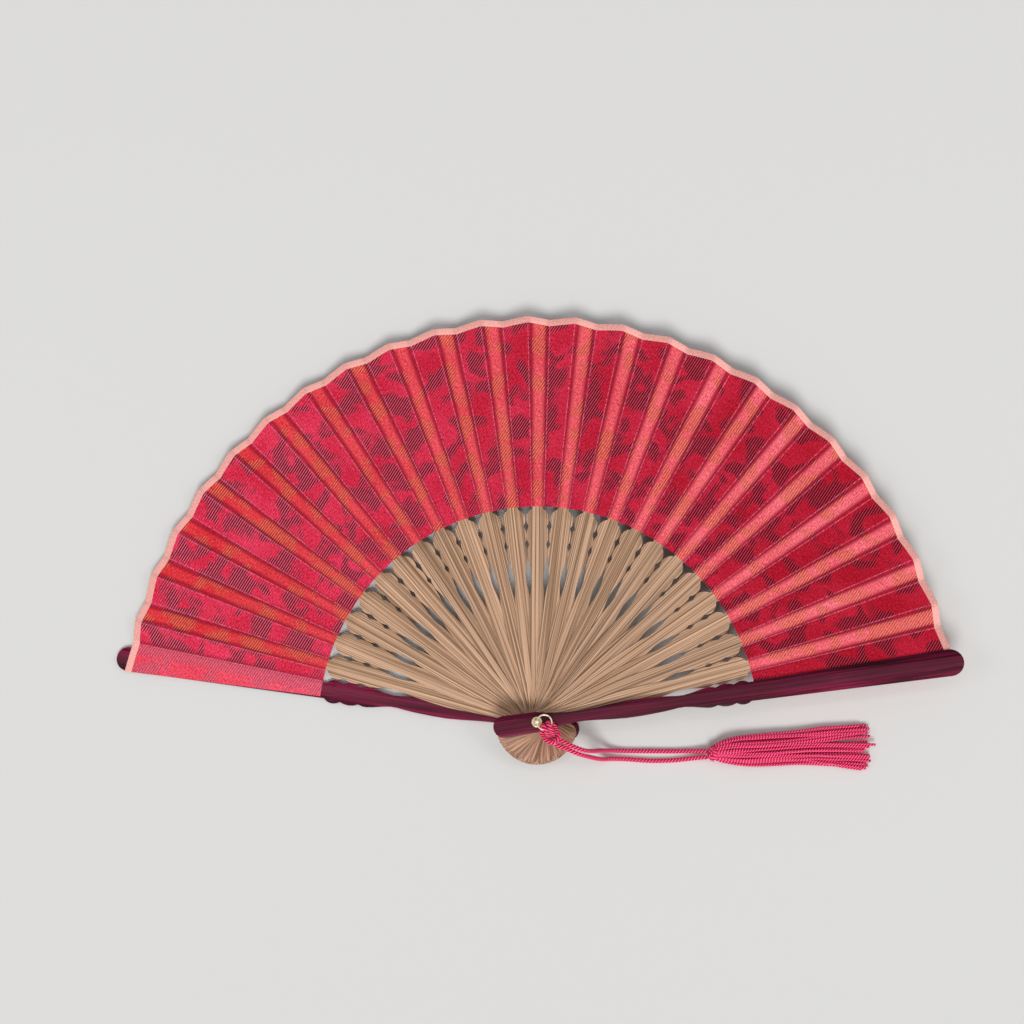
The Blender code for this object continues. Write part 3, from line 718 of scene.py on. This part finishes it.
def binding_material(name, colour):
    """Plain ribbon: a pale salmon tape of close weave, soiled a little."""
    sheen = {"Specular IOR Level": 0.25, "Sheen Weight": 0.05}
    material, add, fill = new_material(name, colour, 0.62, sheen)
    weave = add("UVMap", uv_map="weave")
    # Specks about 0.7 mm across; painted light and shade on the pleats: paler over a stick, darker beside it
    specks_and_light = add("TexNoise", {0: weave, "Scale": 1400.0, "Detail": 4.0})
    to_slip = add("Attribute", output="Fac", attribute_name="to_slip")
    over = {"Value": to_slip, "From Min": -0.5, "From Max": 1.5, "To Min": 0.10, "To Max": -0.12}
    over = add("MapRange", over)
    specks_and_light = add("Math", {0: specks_and_light, 1: over}, operation="ADD")
    soiled_and_shaded, pale = scaled(colour, 0.78), scaled(colour, 1.06, 0.06)
    tone = add("ValToRGB", {0: specks_and_light}, stops=((0.28, soiled_and_shaded), (0.50, colour), (0.72, pale)))
    bump = add("Bump", {"Height": specks_and_light, "Strength": 0.25, "Distance": 0.0001})
    fill({"Base Color": tone, "Normal": bump})
    return material


def floor_material(name, colour):
    """Plain pale paper, matt and even."""
    return new_material(name, colour, 0.9, {"Specular IOR Level": 0.1})[0]


class FOLDING_FAN_OT_set_stage(bpy.types.Operator):
    """Set the camera at the photograph's angle, the pale floor and the soft light"""

    bl_idname = "folding_fan.set_stage"
    bl_label = "Set the stage"

    def execute(self, context):
        stage = context.scene.folding_fan.stage
        deselect_all()
        bpy.ops.object.camera_add()
        camera = context.object
        camera.matrix_world = (
            Matrix.Translation(view_middle)
            @ Matrix.Rotation(stage.camera_azimuth, 4, "Z")
            @ Matrix.Rotation(pi / 2 - stage.camera_elevation, 4, "X")
            @ Matrix.Rotation(stage.camera_roll, 4, "Z")
            @ Matrix.Translation((0.0, 0.0, stage.camera_distance))
        )
        camera.data.lens = stage.camera_lens
        camera.data.sensor_width = 36.0
        context.scene.camera = camera

        # The floor is a hair below the fan, so that no faces share a plane
        bpy.ops.mesh.primitive_plane_add(size=5.0, location=(0.0, 0.0, -0.00004))
        floor = just_made("pale_floor")
        floor.data.materials.append(floor_material("pale paper", stage.floor_colour))

        # Name, type, place, tilt about X and Y in degrees, and values of each light. The strip overhead
        # draws the sheen along the guards, and the side panels pick out the metal and the cord's twist
        key = {"energy": stage.key_strength, "angle": radians(25.0)}
        strip = {"shape": "RECTANGLE", "size": 1.0, "size_y": 0.12, "energy": stage.strip_power}
        side = {"size": 0.5, "energy": stage.side_power}
        for name, kind, place, tilt, values in (
            ("key_light", "SUN", (0.0, -1.0, 1.3), (38.0, 0.0), key),
            ("overhead_strip", "AREA", (0.0, 0.36, 1.3), (-12.0, 0.0), strip),
            ("left_panel", "AREA", (-0.9, -0.1, 1.0), (0.0, -42.0), side),
            ("right_panel", "AREA", (0.9, -0.1, 1.0), (0.0, 42.0), side),
        ):
            turn = (radians(tilt[0]), radians(tilt[1]), 0.0)
            bpy.ops.object.light_add(type=kind, location=place, rotation=turn)
            context.object.name = name
            for field, value in values.items():
                setattr(context.object.data, field, value)

        world = context.scene.world or bpy.data.worlds.new("studio")
        context.scene.world = world
        world.use_nodes = True
        tree = world.node_tree
        tree.nodes.clear()
        sky = {"Color": (0.975, 0.985, 1.0), "Strength": stage.sky_strength}
        add_node(tree, "OutputWorld", {"Surface": add_node(tree, "Background", sky)}, None)
        context.scene.view_settings.view_transform = "Standard"
        return {"FINISHED"}


def on_ring(distance):
    """The point at a distance from the pivot's axis towards the ring's centre, at the ring's height."""
    turned = Matrix.Rotation(ring_bearing, 3, "Z") @ Vector((distance, 0.0, 0.0))
    return Vector((turned.x, turned.y, ring_height))


def hitch_point(along, side, height):
    turned = on_ring(ring_radius) + Matrix.Rotation(hitch_bearing, 3, "Z") @ Vector((along, side, 0.0))
    return Vector((turned.x, turned.y, height))


def cord_route():
    """The doubled cord's route, from the knot up to the ring, round its hitch and back to the knot."""
    first = [hitch_point(*p) for p in hitch_half_route]
    second = [hitch_point(along, -side, height) for along, side, height in reversed(hitch_half_route)]
    return [*upper_leg_route, *first, hitch_point(*hitch_end_point), *second, *lower_leg_route]


class FOLDING_FAN_OT_lay_cord(bpy.types.Operator):
    """Lay the doubled cord from the tassel to the ring, twisted from three plies"""

    bl_idname = "folding_fan.lay_cord"
    bl_label = "Lay the cord"

    def execute(self, context):
        tassel = context.scene.folding_fan.tassel
        route = through(cord_route(), 5)
        strand = (route, cord_radius, cord_lobe, 3, tassel.cord_lay_length, cord_step)
        piece = twisted_piece("twisted_cord", "tassel_cord", "cord", tassel.silk_colour, [strand])
        return {"FINISHED"}


def loop_route(centre, across, up, first_turn, turns, rise, steps=20):
    """A winding about a centre in the knot, with its half widths across and up, its first angle, its
    number of turns and its drift along X in each turn."""
    across, up = Vector(across), Vector(up)
    made = []
    for i in range(int(steps * turns) + 1):
        a = first_turn + 2 * pi * i / steps
        middle_point = knot_place + Vector(centre) + Vector((rise * i / steps, 0.0, 0.0))
        made.append(middle_point + across * cos(a) + up * sin(a))
    return made


class FOLDING_FAN_OT_tie_knot(bpy.types.Operator):
    """Tie the knot at the tassel's head: two small loops of cord and a wound binding"""

    bl_idname = "folding_fan.tie_knot"
    bl_label = "Tie the knot"

    def execute(self, context):
        tassel = context.scene.folding_fan.tassel
        loop_radius = 0.00058
        binding_radius = 0.00050
        wound = []
        for side in (1, -1):
            centre = (-0.0009, 0.00175 * side, 0.0001)
            across = (0.0008, 0.0014 * side, 0.0)
            loop = loop_route(centre, across, (0.0003, 0.0, 0.0017), 0.4, 1.7, 0.0006)
            wound.append((loop, loop_radius))
        wound.append((through([knot_place + Vector(p) for p in crossing_route], 6), loop_radius))
        binding = loop_route(
            (0.0004, 0.0, -0.0001), (0.0, 0.00255, 0.0), (0.0, 0.0, 0.00235), -1.2, 3.1, 0.00062, 28
        )
        wound.append((binding, binding_radius))
        lay_length = tassel.strand_lay_length
        strands = [(route, radius, two_ply_lobe, 2, lay_length, cord_step) for route, radius in wound]
        twisted_piece("tassel_binding", "tassel_knot", "binding", tassel.silk_colour, strands)
        return {"FINISHED"}


def skirt_section(share):
    """The skirt's half width, half height and drift at a share of its length."""
    for first, second in zip(skirt_sections, skirt_sections[1:]):
        if share <= second[0]:
            break
    t = min(1.0, (share - first[0]) / (second[0] - first[0]))
    width, height, drift = (a + (b - a) * t for a, b in zip(first[1:], second[1:]))
    return width * skirt_end_width / 2, height * skirt_crown_height / 2, drift * skirt_length


def skirt_strand_routes(strand_radius, chance):
    """Routes of the skirt's strands: an upper, a middle and a lower layer that lie side by side."""
    stations = (0.0, 0.03, 0.08, 0.16, 0.26, 0.38, 0.50, 0.62, 0.74, 0.87, 1.0)
    layers = ((16, 1.03, 0.55), (14, 0.92, -0.05), (12, 0.95, -0.62))
    routes = []
    for count, spread, level in layers:
        upper = level > 0
        for k in range(count):
            place = (-1 + 2 * (k + 0.5) / count) * spread
            sway = chance.uniform(0.03, 0.16 if upper else 0.10)
            phase = chance.uniform(0.0, 1.0)
            rate = chance.uniform(0.4, 0.9)
            lift = chance.uniform(-0.16, 0.16)
            # One strand reaches further than the others
            reach = 1.03 if k == 9 and upper else chance.uniform(0.93, 1.0)
            route = []
            for share in stations:
                half_width, half_height, drift = skirt_section(share)
                wide = max(0.0, half_width - strand_radius * 0.9)
                high = max(0.0, half_height - strand_radius * 0.9)
                bend = sway * sin(2 * pi * (phase + rate * share)) + chance.uniform(-0.014, 0.014)
                at = max(-1.0, min(1.0, place + bend))
                crown = sqrt(max(0.0, 1.0 - (0.94 * at) ** 2))
                x = skirt_start + share * reach * skirt_length - 0.0008 * (1 - share)
                z = half_height + high * (level + lift * share) * crown * (1.55 if upper else 1.3)
                route.append((x, knot_place.y + drift + at * wide, max(strand_radius + 0.00005, z)))
            routes.append(route)
    return routes


class FOLDING_FAN_OT_hang_strands(bpy.types.Operator):
    """Lay the tassel's skirt, strand by strand"""

    bl_idname = "folding_fan.hang_strands"
    bl_label = "Lay the tassel's strands"

    def execute(self, context):
        tassel = context.scene.folding_fan.tassel
        chance = random.Random(11)
        radius = tassel.strand_radius
        lay_length = tassel.strand_lay_length
        strands = []
        for route in skirt_strand_routes(radius, chance):
            start = chance.uniform(0.0, pi)
            strands.append((through(route, 5), radius, two_ply_lobe, 2, lay_length, skirt_step, start))
        twisted_piece("tassel_strands", "tassel_skirt", "strands", tassel.silk_colour, strands)
        return {"FINISHED"}


class FOLDING_FAN_OT_bend_ring(bpy.types.Operator):
    """Bend the jump ring from round wire, with the seam where its ends meet"""

    bl_idname = "folding_fan.bend_ring"
    bl_label = "Bend the ring"

    def execute(self, context):
        seam_bearing = radians(65.0)
        seam_half_width = 0.00009
        deselect_all()
        centre = on_ring(ring_radius)
        bpy.ops.mesh.primitive_torus_add(
            location=centre,
            major_segments=72,
            minor_segments=18,
            major_radius=ring_radius,
            minor_radius=ring_wire_radius,
        )
        piece = just_made("ring_wire")
        along = Vector((-sin(seam_bearing), cos(seam_bearing), 0.0))
        outward = Vector((along.y, -along.x, 0.0))

        def near_side(place):
            """Whether the place is in the ring's half that has the seam."""
            return (place - centre).dot(outward) > 0.0

        def in_seam(vertex):
            return abs((vertex.co - centre).dot(along)) < 0.00002 and near_side(vertex.co)

        start_editing(piece)
        # The wire's ends meet at the seam: a cut there, one on each side of it, and the middle drawn in
        for shift in (-seam_half_width, 0.0, seam_half_width):
            select_where(piece, "faces", lambda face: near_side(middle(face)))
            bpy.ops.mesh.bisect(plane_co=centre + along * shift, plane_no=along)
        select_where(piece, "verts", in_seam)
        bpy.ops.transform.shrink_fatten(value=-context.scene.folding_fan.pivot.seam_groove)
        plate(piece, 50, "wire", 0.2, "tassel", "jump_ring")
        return {"FINISHED"}


class FOLDING_FAN_OT_turn_stud(bpy.types.Operator):
    """Turn the stud: a ball on a thin spigot, drilled across for the ring"""

    bl_idname = "folding_fan.turn_stud"
    bl_label = "Turn the stud"

    def execute(self, context):
        clearance = 0.00011
        edge_rounding = 0.00005
        deselect_all()
        bpy.ops.mesh.primitive_uv_sphere_add(
            segments=40, ring_count=28, radius=ball_radius, location=(0.0, 0.0, ring_height)
        )
        piece = just_made("stud_ball")
        start_editing(piece)
        neck = ring_height - sqrt(ball_radius**2 - spigot_radius**2)
        select_where(piece, "verts", lambda vertex: vertex.co.z < neck)
        bpy.ops.mesh.delete(type="VERT")
        select_where(piece, "edges", lambda edge: edge.is_boundary)
        bpy.ops.mesh.extrude_edges_move(TRANSFORM_OT_translate={"value": (0.0, 0.0, spigot_foot - neck)})
        bpy.ops.mesh.edge_face_add()
        # The hole is straight, and as wide as the ring's curve inside the ball
        deselect_all()
        sagitta = ring_radius - sqrt(ring_radius**2 - ball_radius**2)
        bpy.ops.mesh.primitive_cylinder_add(
            vertices=32,
            radius=ring_wire_radius + sagitta / 2 + clearance,
            depth=4 * ball_radius,
            location=on_ring(sagitta / 2),
            rotation=(pi / 2, 0.0, ring_bearing),
        )
        drill = context.object
        hole = piece.modifiers.new("eye", "BOOLEAN")
        hole.operation = "DIFFERENCE"
        hole.object = drill
        apply_modifiers(piece)
        bpy.data.objects.remove(drill, do_unlink=True)
        round_edges(piece, edge_rounding, 2)
        plate(piece, 40, "stud", 0.22, "tassel", "pivot_stud")
        return {"FINISHED"}


def raise_faces(height):
    """Extrudes the selected faces up or down by the height."""
    bpy.ops.mesh.extrude_region_move(TRANSFORM_OT_translate={"value": (0.0, 0.0, height)})


def add_disc(name, vertices, radius, base, height):
    """A flat cylinder about the pivot's axis, ready to be edited."""
    deselect_all()
    bpy.ops.mesh.primitive_cylinder_add(
        vertices=vertices, radius=radius, depth=height, location=(0.0, 0.0, base + height / 2)
    )
    piece = just_made(name)
    start_editing(piece)
    return piece


class FOLDING_FAN_OT_turn_washer(bpy.types.Operator):
    """Turn the washer with its raised round rim, and the flush rear head of the barrel"""

    bl_idname = "folding_fan.turn_washer"
    bl_label = "Turn the washer and the barrel"

    def execute(self, context):
        self.turn_washer()
        self.turn_barrel()
        return {"FINISHED"}

    def turn_washer(self):
        rim_height = 0.00075
        rim_width = 0.00085
        rim_rounding = 0.00028
        web_height = 0.00022
        web_width = 0.0009
        bore_radius = 0.00057
        top = washer_base + rim_height

        def flat_end(face):
            """Whether the face is one of the two large flat ones."""
            return abs(face.normal.z) > 0.9 and len(face.verts) > 4

        def top_circle(edge):
            """Whether the edge is on one of the rim's two upper circles."""
            level = abs(middle(edge).z - top) < 0.00001
            return level and len({round(v.co.xy.length, 5) for v in edge.verts}) == 1

        washer = add_disc("washer_rim", 64, washer_radius, washer_base, rim_height)
        select_where(washer, "faces", lambda face: face.normal.z > 0.9)
        bpy.ops.mesh.inset(thickness=rim_width)
        raise_faces(web_height - rim_height)
        select_where(washer, "faces", flat_end)
        bpy.ops.mesh.inset(thickness=web_width)
        select_where(washer, "faces", flat_end)
        bpy.ops.mesh.delete(type="FACE")
        # The two open rims are joined and drawn to the bore's size
        select_where(washer, "edges", lambda edge: edge.is_boundary)
        bpy.ops.mesh.bridge_edge_loops()
        select_where(washer, "verts", lambda vertex: vertex.co.xy.length < 0.0008)
        shape = bmesh.from_edit_mesh(washer.data)
        for vertex in shape.verts:
            if vertex.select:
                vertex.co.xy = vertex.co.xy.normalized() * bore_radius
        bmesh.update_edit_mesh(washer.data)
        select_where(washer, "edges", top_circle)
        bpy.ops.mesh.bevel(offset=rim_rounding, segments=4, affect="EDGES")
        bpy.ops.mesh.select_all(action="SELECT")
        bpy.ops.mesh.normals_make_consistent(inside=False)
        plate(washer, 35, "washer", 0.22, "base", "pivot_washer")

    def turn_barrel(self):
        """The shank goes up through the sticks, and the head underneath is dished where it was set."""
        flange_width = 0.0010
        dish_depth = 0.00022
        head_rounding = 0.00015

        def head_circle(edge):
            """Whether the edge is on the head's outer circle underneath."""
            return abs(middle(edge).z) < 0.00001 and middle(edge).xy.length > 0.0018

        barrel = add_disc("barrel_head", 48, barrel_head_radius, 0.0, barrel_head_height)
        select_where(barrel, "faces", lambda face: face.normal.z > 0.9)
        bpy.ops.mesh.inset(thickness=flange_width)
        raise_faces(stack_top - barrel_head_height)
        select_where(barrel, "faces", lambda face: face.normal.z < -0.9)
        for ring_width in (0.0009, 0.0003):
            bpy.ops.mesh.inset(thickness=ring_width)
        bpy.ops.transform.translate(value=(0.0, 0.0, dish_depth))
        select_where(barrel, "edges", head_circle)
        bpy.ops.mesh.bevel(offset=head_rounding, segments=3, affect="EDGES")
        plate(barrel, 35, "barrel", 0.26, "base", "pivot_barrel")


def rounded_copy(node, name, rounding_width, segments, smooth_degrees):
    """A copy of a solid with its triangles joined into faces, its edges rounded and its faces smooth."""
    piece = new_object(name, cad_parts[node].data.copy())
    start_editing(piece)
    bpy.ops.mesh.select_all(action="SELECT")
    bpy.ops.mesh.remove_doubles(threshold=merge_distance)
    bpy.ops.mesh.dissolve_limited(angle_limit=radians(0.5))
    round_edges(piece, rounding_width, segments)
    smooth(piece, smooth_degrees)
    return piece


class FOLDING_FAN_OT_finish_guards(bpy.types.Operator):
    """Round the guards' edges and lacquer them"""

    bl_idname = "folding_fan.finish_guards"
    bl_label = "Finish the guards"

    def execute(self, context):
        sticks = context.scene.folding_fan.sticks
        for node, body, bearing in (
            ("rear_guard", "base", rear_guard_bearing),
            ("front_guard", "cover", front_guard_bearing),
        ):
            piece = rounded_copy(node, f"{node}_lacquered", sticks.guard_edge_rounding, 3, 32)
            material = lacquer_material(f"maroon lacquered wood, {node}", sticks.lacquer_colour, bearing)
            finish_piece(piece, material, body, node)
        return {"FINISHED"}


class FOLDING_FAN_OT_split_ribs(bpy.types.Operator):
    """Shape one bamboo rib with its edges rounded, and set a copy in each layer of the fan"""

    bl_idname = "folding_fan.split_ribs"
    bl_label = "Split the ribs"

    def execute(self, context):
        sticks = context.scene.folding_fan.sticks
        bamboo = (sticks.bamboo_colour, sticks.fibre_colour)
        chance = random.Random(5)
        first = rounded_copy("rib_01", "bamboo_rib_01", sticks.rib_edge_rounding, 2, 35)
        ribs = [first]
        for i in range(2, rib_count + 1):
            rib = new_object(f"bamboo_rib_{i:02d}", first.data.copy())
            rib.rotation_euler.z = -(i - 1) * pitch_angle
            rib.location.z = (i - 1) * layer_pitch
            place_in_mesh(rib)
            ribs.append(rib)
        for i, rib in enumerate(ribs, 1):
            bearing = rear_guard_bearing - i * pitch_angle
            tone = chance.uniform(0.90, 1.08)
            material = bamboo_material(f"split bamboo, rib {i:02d}", *bamboo, bearing, tone, 0.37 * i)
            finish_piece(rib, material, f"stick_{i:02d}", f"rib_{i:02d}")
        return {"FINISHED"}


# A fold line of the leaf: its angle from its stick, its height and slope, its reach and its kind
Fold = namedtuple("Fold", "angle height slope reach kind")


def leaf_stretches():
    """Each stretch of the leaf: its stick's bearing, its height and body, the next body and its folds."""
    ridge = Fold(panel_half_angle, cloth_lift, panel_rise, ridge_reach, "ridge")
    groove = Fold(-panel_half_angle, cloth_lift, -panel_rise, groove_reach, "groove")
    next_angle = panel_half_angle - pitch_angle
    next_ridge = Fold(next_angle, cloth_lift + layer_pitch, panel_rise, ridge_reach, "ridge")
    below_ribs = first_rib_height - layer_pitch
    rear_lift = rear_cloth_height - below_ribs
    rear_end = Fold(radians(1.75), rear_lift, 0.0, ridge_reach, "edge")
    rear_groove = Fold(radians(-2.3), rear_lift, 0.0, groove_reach, "groove")
    made = [(rear_guard_bearing, below_ribs, "base", "stick_01", (rear_end, rear_groove, next_ridge))]
    front_angle = radians(1.9)
    for i in range(1, rib_count + 1):
        bearing = rear_guard_bearing - i * pitch_angle
        height = first_rib_height + (i - 1) * layer_pitch
        next_body = f"stick_{i + 1:02d}"
        last_fold = next_ridge
        if i == rib_count:
            next_body = "cover"
            lift = front_cloth_height - height
            last_fold = Fold(front_angle - pitch_angle, lift, 0.0, ridge_reach, "edge")
        made.append((bearing, height, f"stick_{i:02d}", next_body, (ridge, groove, last_fold)))
    front_start = Fold(front_angle, 0.0, 0.0, ridge_reach, "edge")
    front_end = Fold(radians(-1.5), 0.0, 0.0, groove_reach, "edge")
    made.append((front_guard_bearing, front_cloth_height, "cover", None, (front_start, front_end)))
    return made


def sheet_columns(folds):
    """Columns across the stretch: the panel, its angle, height, slope, reach and share of the panel."""
    shares = (0.0, 0.03, 0.075, 0.3, 0.5, 0.7, 0.925, 0.97)
    softening = {"ridge": -0.00006, "groove": 0.00006, "edge": 0.0}
    columns = []
    for panel, (a, b) in enumerate(zip(folds, folds[1:])):
        ends = (1.0,) if panel == len(folds) - 2 else ()
        for share in (*shares, *ends):
            angle, height, slope, reach = (p + (q - p) * share for p, q in zip(a[:4], b[:4]))
            if share in (0.0, 1.0):
                height += softening[(a if share == 0.0 else b).kind]
            columns.append((panel, angle, height, slope, reach, share))
    return columns


# The last rows of a stretch are the ribbon's, from its seam on
ribbon_rows = 5


def sheet_rows(reach, binding_width):
    """Rows from the cloth's inner edge to the binding's outer edge: radius and half thickness."""
    half = cloth_thickness / 2
    seam = reach - binding_width
    # The ribbon, which is a little thicker than the cloth, takes the last rows
    tape = half + ribbon_extra
    return [
        (leaf_inner, half * 0.6),
        (leaf_inner + 0.0003, half),
        *((leaf_inner + (seam - leaf_inner) * share, half) for share in (0.15, 0.35, 0.55, 0.75, 0.92)),
        (seam, half),
        (seam + 0.00012, tape),
        (reach - binding_width / 2, tape + 0.00001),
        (reach - 0.0004, tape),
        (reach, half * 0.5),
    ]


def leaf_stretch(name, bearing, base_height, folds, widths, binding_width):
    """One stretch of the pleated cloth, closed on both sides, with its measures in mm for the material.

    The widths are the stick's behind it, at the cloth's inner edge and at the slip's end."""
    columns = sheet_columns(folds)
    rows = len(sheet_rows(ridge_reach, binding_width))
    points = []
    to_fold = []
    to_slip = []
    turns = []
    for side in (1, -1):
        for panel, angle, height, slope, reach, share in columns:
            for radius, half in sheet_rows(reach, binding_width):
                x = radius * cos(bearing + angle)
                y = radius * sin(bearing + angle)
                points.append((x, y, base_height + height + slope * radius + side * half))
                away = min(abs(angle - fold.angle) + (fold.kind == "edge") for fold in folds)
                to_fold.append(1000.0 * away * radius)
                along = (radius - handle_length) / (slip_end - handle_length)
                stick_half_width = (widths[0] + (widths[1] - widths[0]) * along) / 2
                to_slip.append(1000.0 * (abs(angle) * radius - stick_half_width))
                turns.append(share if panel == 1 else 0.0)
    count = len(columns)
    half_way = count * rows
    faces = []
    for c in range(count - 1):
        for k in range(rows - 1):
            a, b = c * rows + k, (c + 1) * rows + k
            faces.append((a, b, b + 1, a + 1))
            faces.append((half_way + a, half_way + a + 1, half_way + b + 1, half_way + b))
        inner, outer = c * rows, c * rows + rows - 1
        faces.append((inner, half_way + inner, half_way + inner + rows, inner + rows))
        faces.append((outer, outer + rows, half_way + outer + rows, half_way + outer))
    for k in range(rows - 1):
        first, last = k, (count - 1) * rows + k
        faces.append((first, first + 1, half_way + first + 1, half_way + first))
        faces.append((last, half_way + last, half_way + last + 1, last + 1))
    mesh = bpy.data.meshes.new(name)
    mesh.from_pydata(points, [], faces)
    weave = mesh.uv_layers.new(name="weave")
    for loop in mesh.loops:
        weave.data[loop.index].uv = points[loop.vertex_index][:2]
    for measure, values in (("to_fold", to_fold), ("to_slip", to_slip)):
        mesh.attributes.new(measure, "FLOAT", "POINT").data.foreach_set("value", values)
    # The ribbon's rows take the second material
    for polygon in mesh.polygons:
        at = min(index % rows for index in polygon.vertices)
        polygon.material_index = 1 if at >= rows - ribbon_rows else 0
    return new_object(name, mesh), turns


class FOLDING_FAN_OT_pleat_leaf(bpy.types.Operator):
    """Pleat the leaf: one stretch of cloth for each stick, joined along its fold lines"""

    bl_idname = "folding_fan.pleat_leaf"
    bl_label = "Pleat the leaf"

    def execute(self, context):
        leaf = context.scene.folding_fan.leaf
        # The hatched band is 4.6 mm wide on the rear guard, and over the ribs there is none
        cloth = cloth_material("crimson figured cloth", leaf, leaf.stripe_colour, leaf.stripe_thread, -1.0)
        guard_cloth = cloth_material(
            "crimson figured cloth on the guard", leaf, leaf.guard_stripe_colour, leaf.ridge_colour, 4.6
        )
        ribbon = binding_material("salmon ribbon", leaf.binding_colour)
        for i, (bearing, height, body, next_body, folds) in enumerate(leaf_stretches()):
            widths = (slip_root_width, slip_tip_width)
            if i == 0:
                widths = rear_glued_widths
            elif not next_body:
                widths = front_glued_widths
            name = f"cloth_pleat_{i:02d}" if next_body else "cloth_end"
            node = f"leaf_pleat_{i:02d}" if next_body else "leaf_end_panel"
            piece, turns = leaf_stretch(name, bearing, height, folds, widths, leaf.binding_width)
            piece.data.materials.append(guard_cloth if i == 0 else cloth)
            piece.data.materials.append(ribbon)
            smooth(piece, 30)
            finish_piece(piece, None, None if next_body else body, node)
            if next_body:
                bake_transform(piece)
        return {"FINISHED"}


class FOLDING_FAN_PT_pieces(bpy.types.Panel):
    """The fan's pieces and their sizes and colours"""

    bl_idname = "FOLDING_FAN_PT_pieces"
    bl_label = "Folding Fan"
    bl_space_type = "VIEW_3D"
    bl_region_type = "UI"
    bl_category = "Folding Fan"

    def draw(self, context):
        layout = self.layout
        for operator in making_order:
            layout.operator(operator.bl_idname)
        for group in ("stage", "sticks", "leaf", "pivot", "tassel"):
            settings = getattr(context.scene.folding_fan, group)
            box = layout.box()
            box.label(text=group.capitalize())
            for name in settings.__annotations__:
                box.prop(settings, name)


making_order = (
    FOLDING_FAN_OT_set_stage,
    FOLDING_FAN_OT_lay_cord,
    FOLDING_FAN_OT_tie_knot,
    FOLDING_FAN_OT_hang_strands,
    FOLDING_FAN_OT_bend_ring,
    FOLDING_FAN_OT_turn_stud,
    FOLDING_FAN_OT_turn_washer,
    FOLDING_FAN_OT_finish_guards,
    FOLDING_FAN_OT_split_ribs,
    FOLDING_FAN_OT_pleat_leaf,
)
classes = (
    FanStageSettings,
    FanStickSettings,
    FanLeafSettings,
    FanPivotSettings,
    FanTasselSettings,
    FanSettings,
    *making_order,
    FOLDING_FAN_PT_pieces,
)


def register():
    for each in classes:
        bpy.utils.register_class(each)
    bpy.types.Scene.folding_fan = bpy.props.PointerProperty(
        name="Folding fan", description="Sizes and colours of the fan", type=FanSettings
    )


def unregister():
    del bpy.types.Scene.folding_fan
    for each in reversed(classes):
        bpy.utils.unregister_class(each)


def main():
    register()
    bpy.ops.folding_fan.set_stage()
    bpy.ops.folding_fan.lay_cord()
    bpy.ops.folding_fan.tie_knot()
    bpy.ops.folding_fan.hang_strands()
    bpy.ops.folding_fan.bend_ring()
    bpy.ops.folding_fan.turn_stud()
    bpy.ops.folding_fan.turn_washer()
    bpy.ops.folding_fan.finish_guards()
    bpy.ops.folding_fan.split_ribs()
    bpy.ops.folding_fan.pleat_leaf()
    deselect_all()


if __name__ == "__main__":
    main()
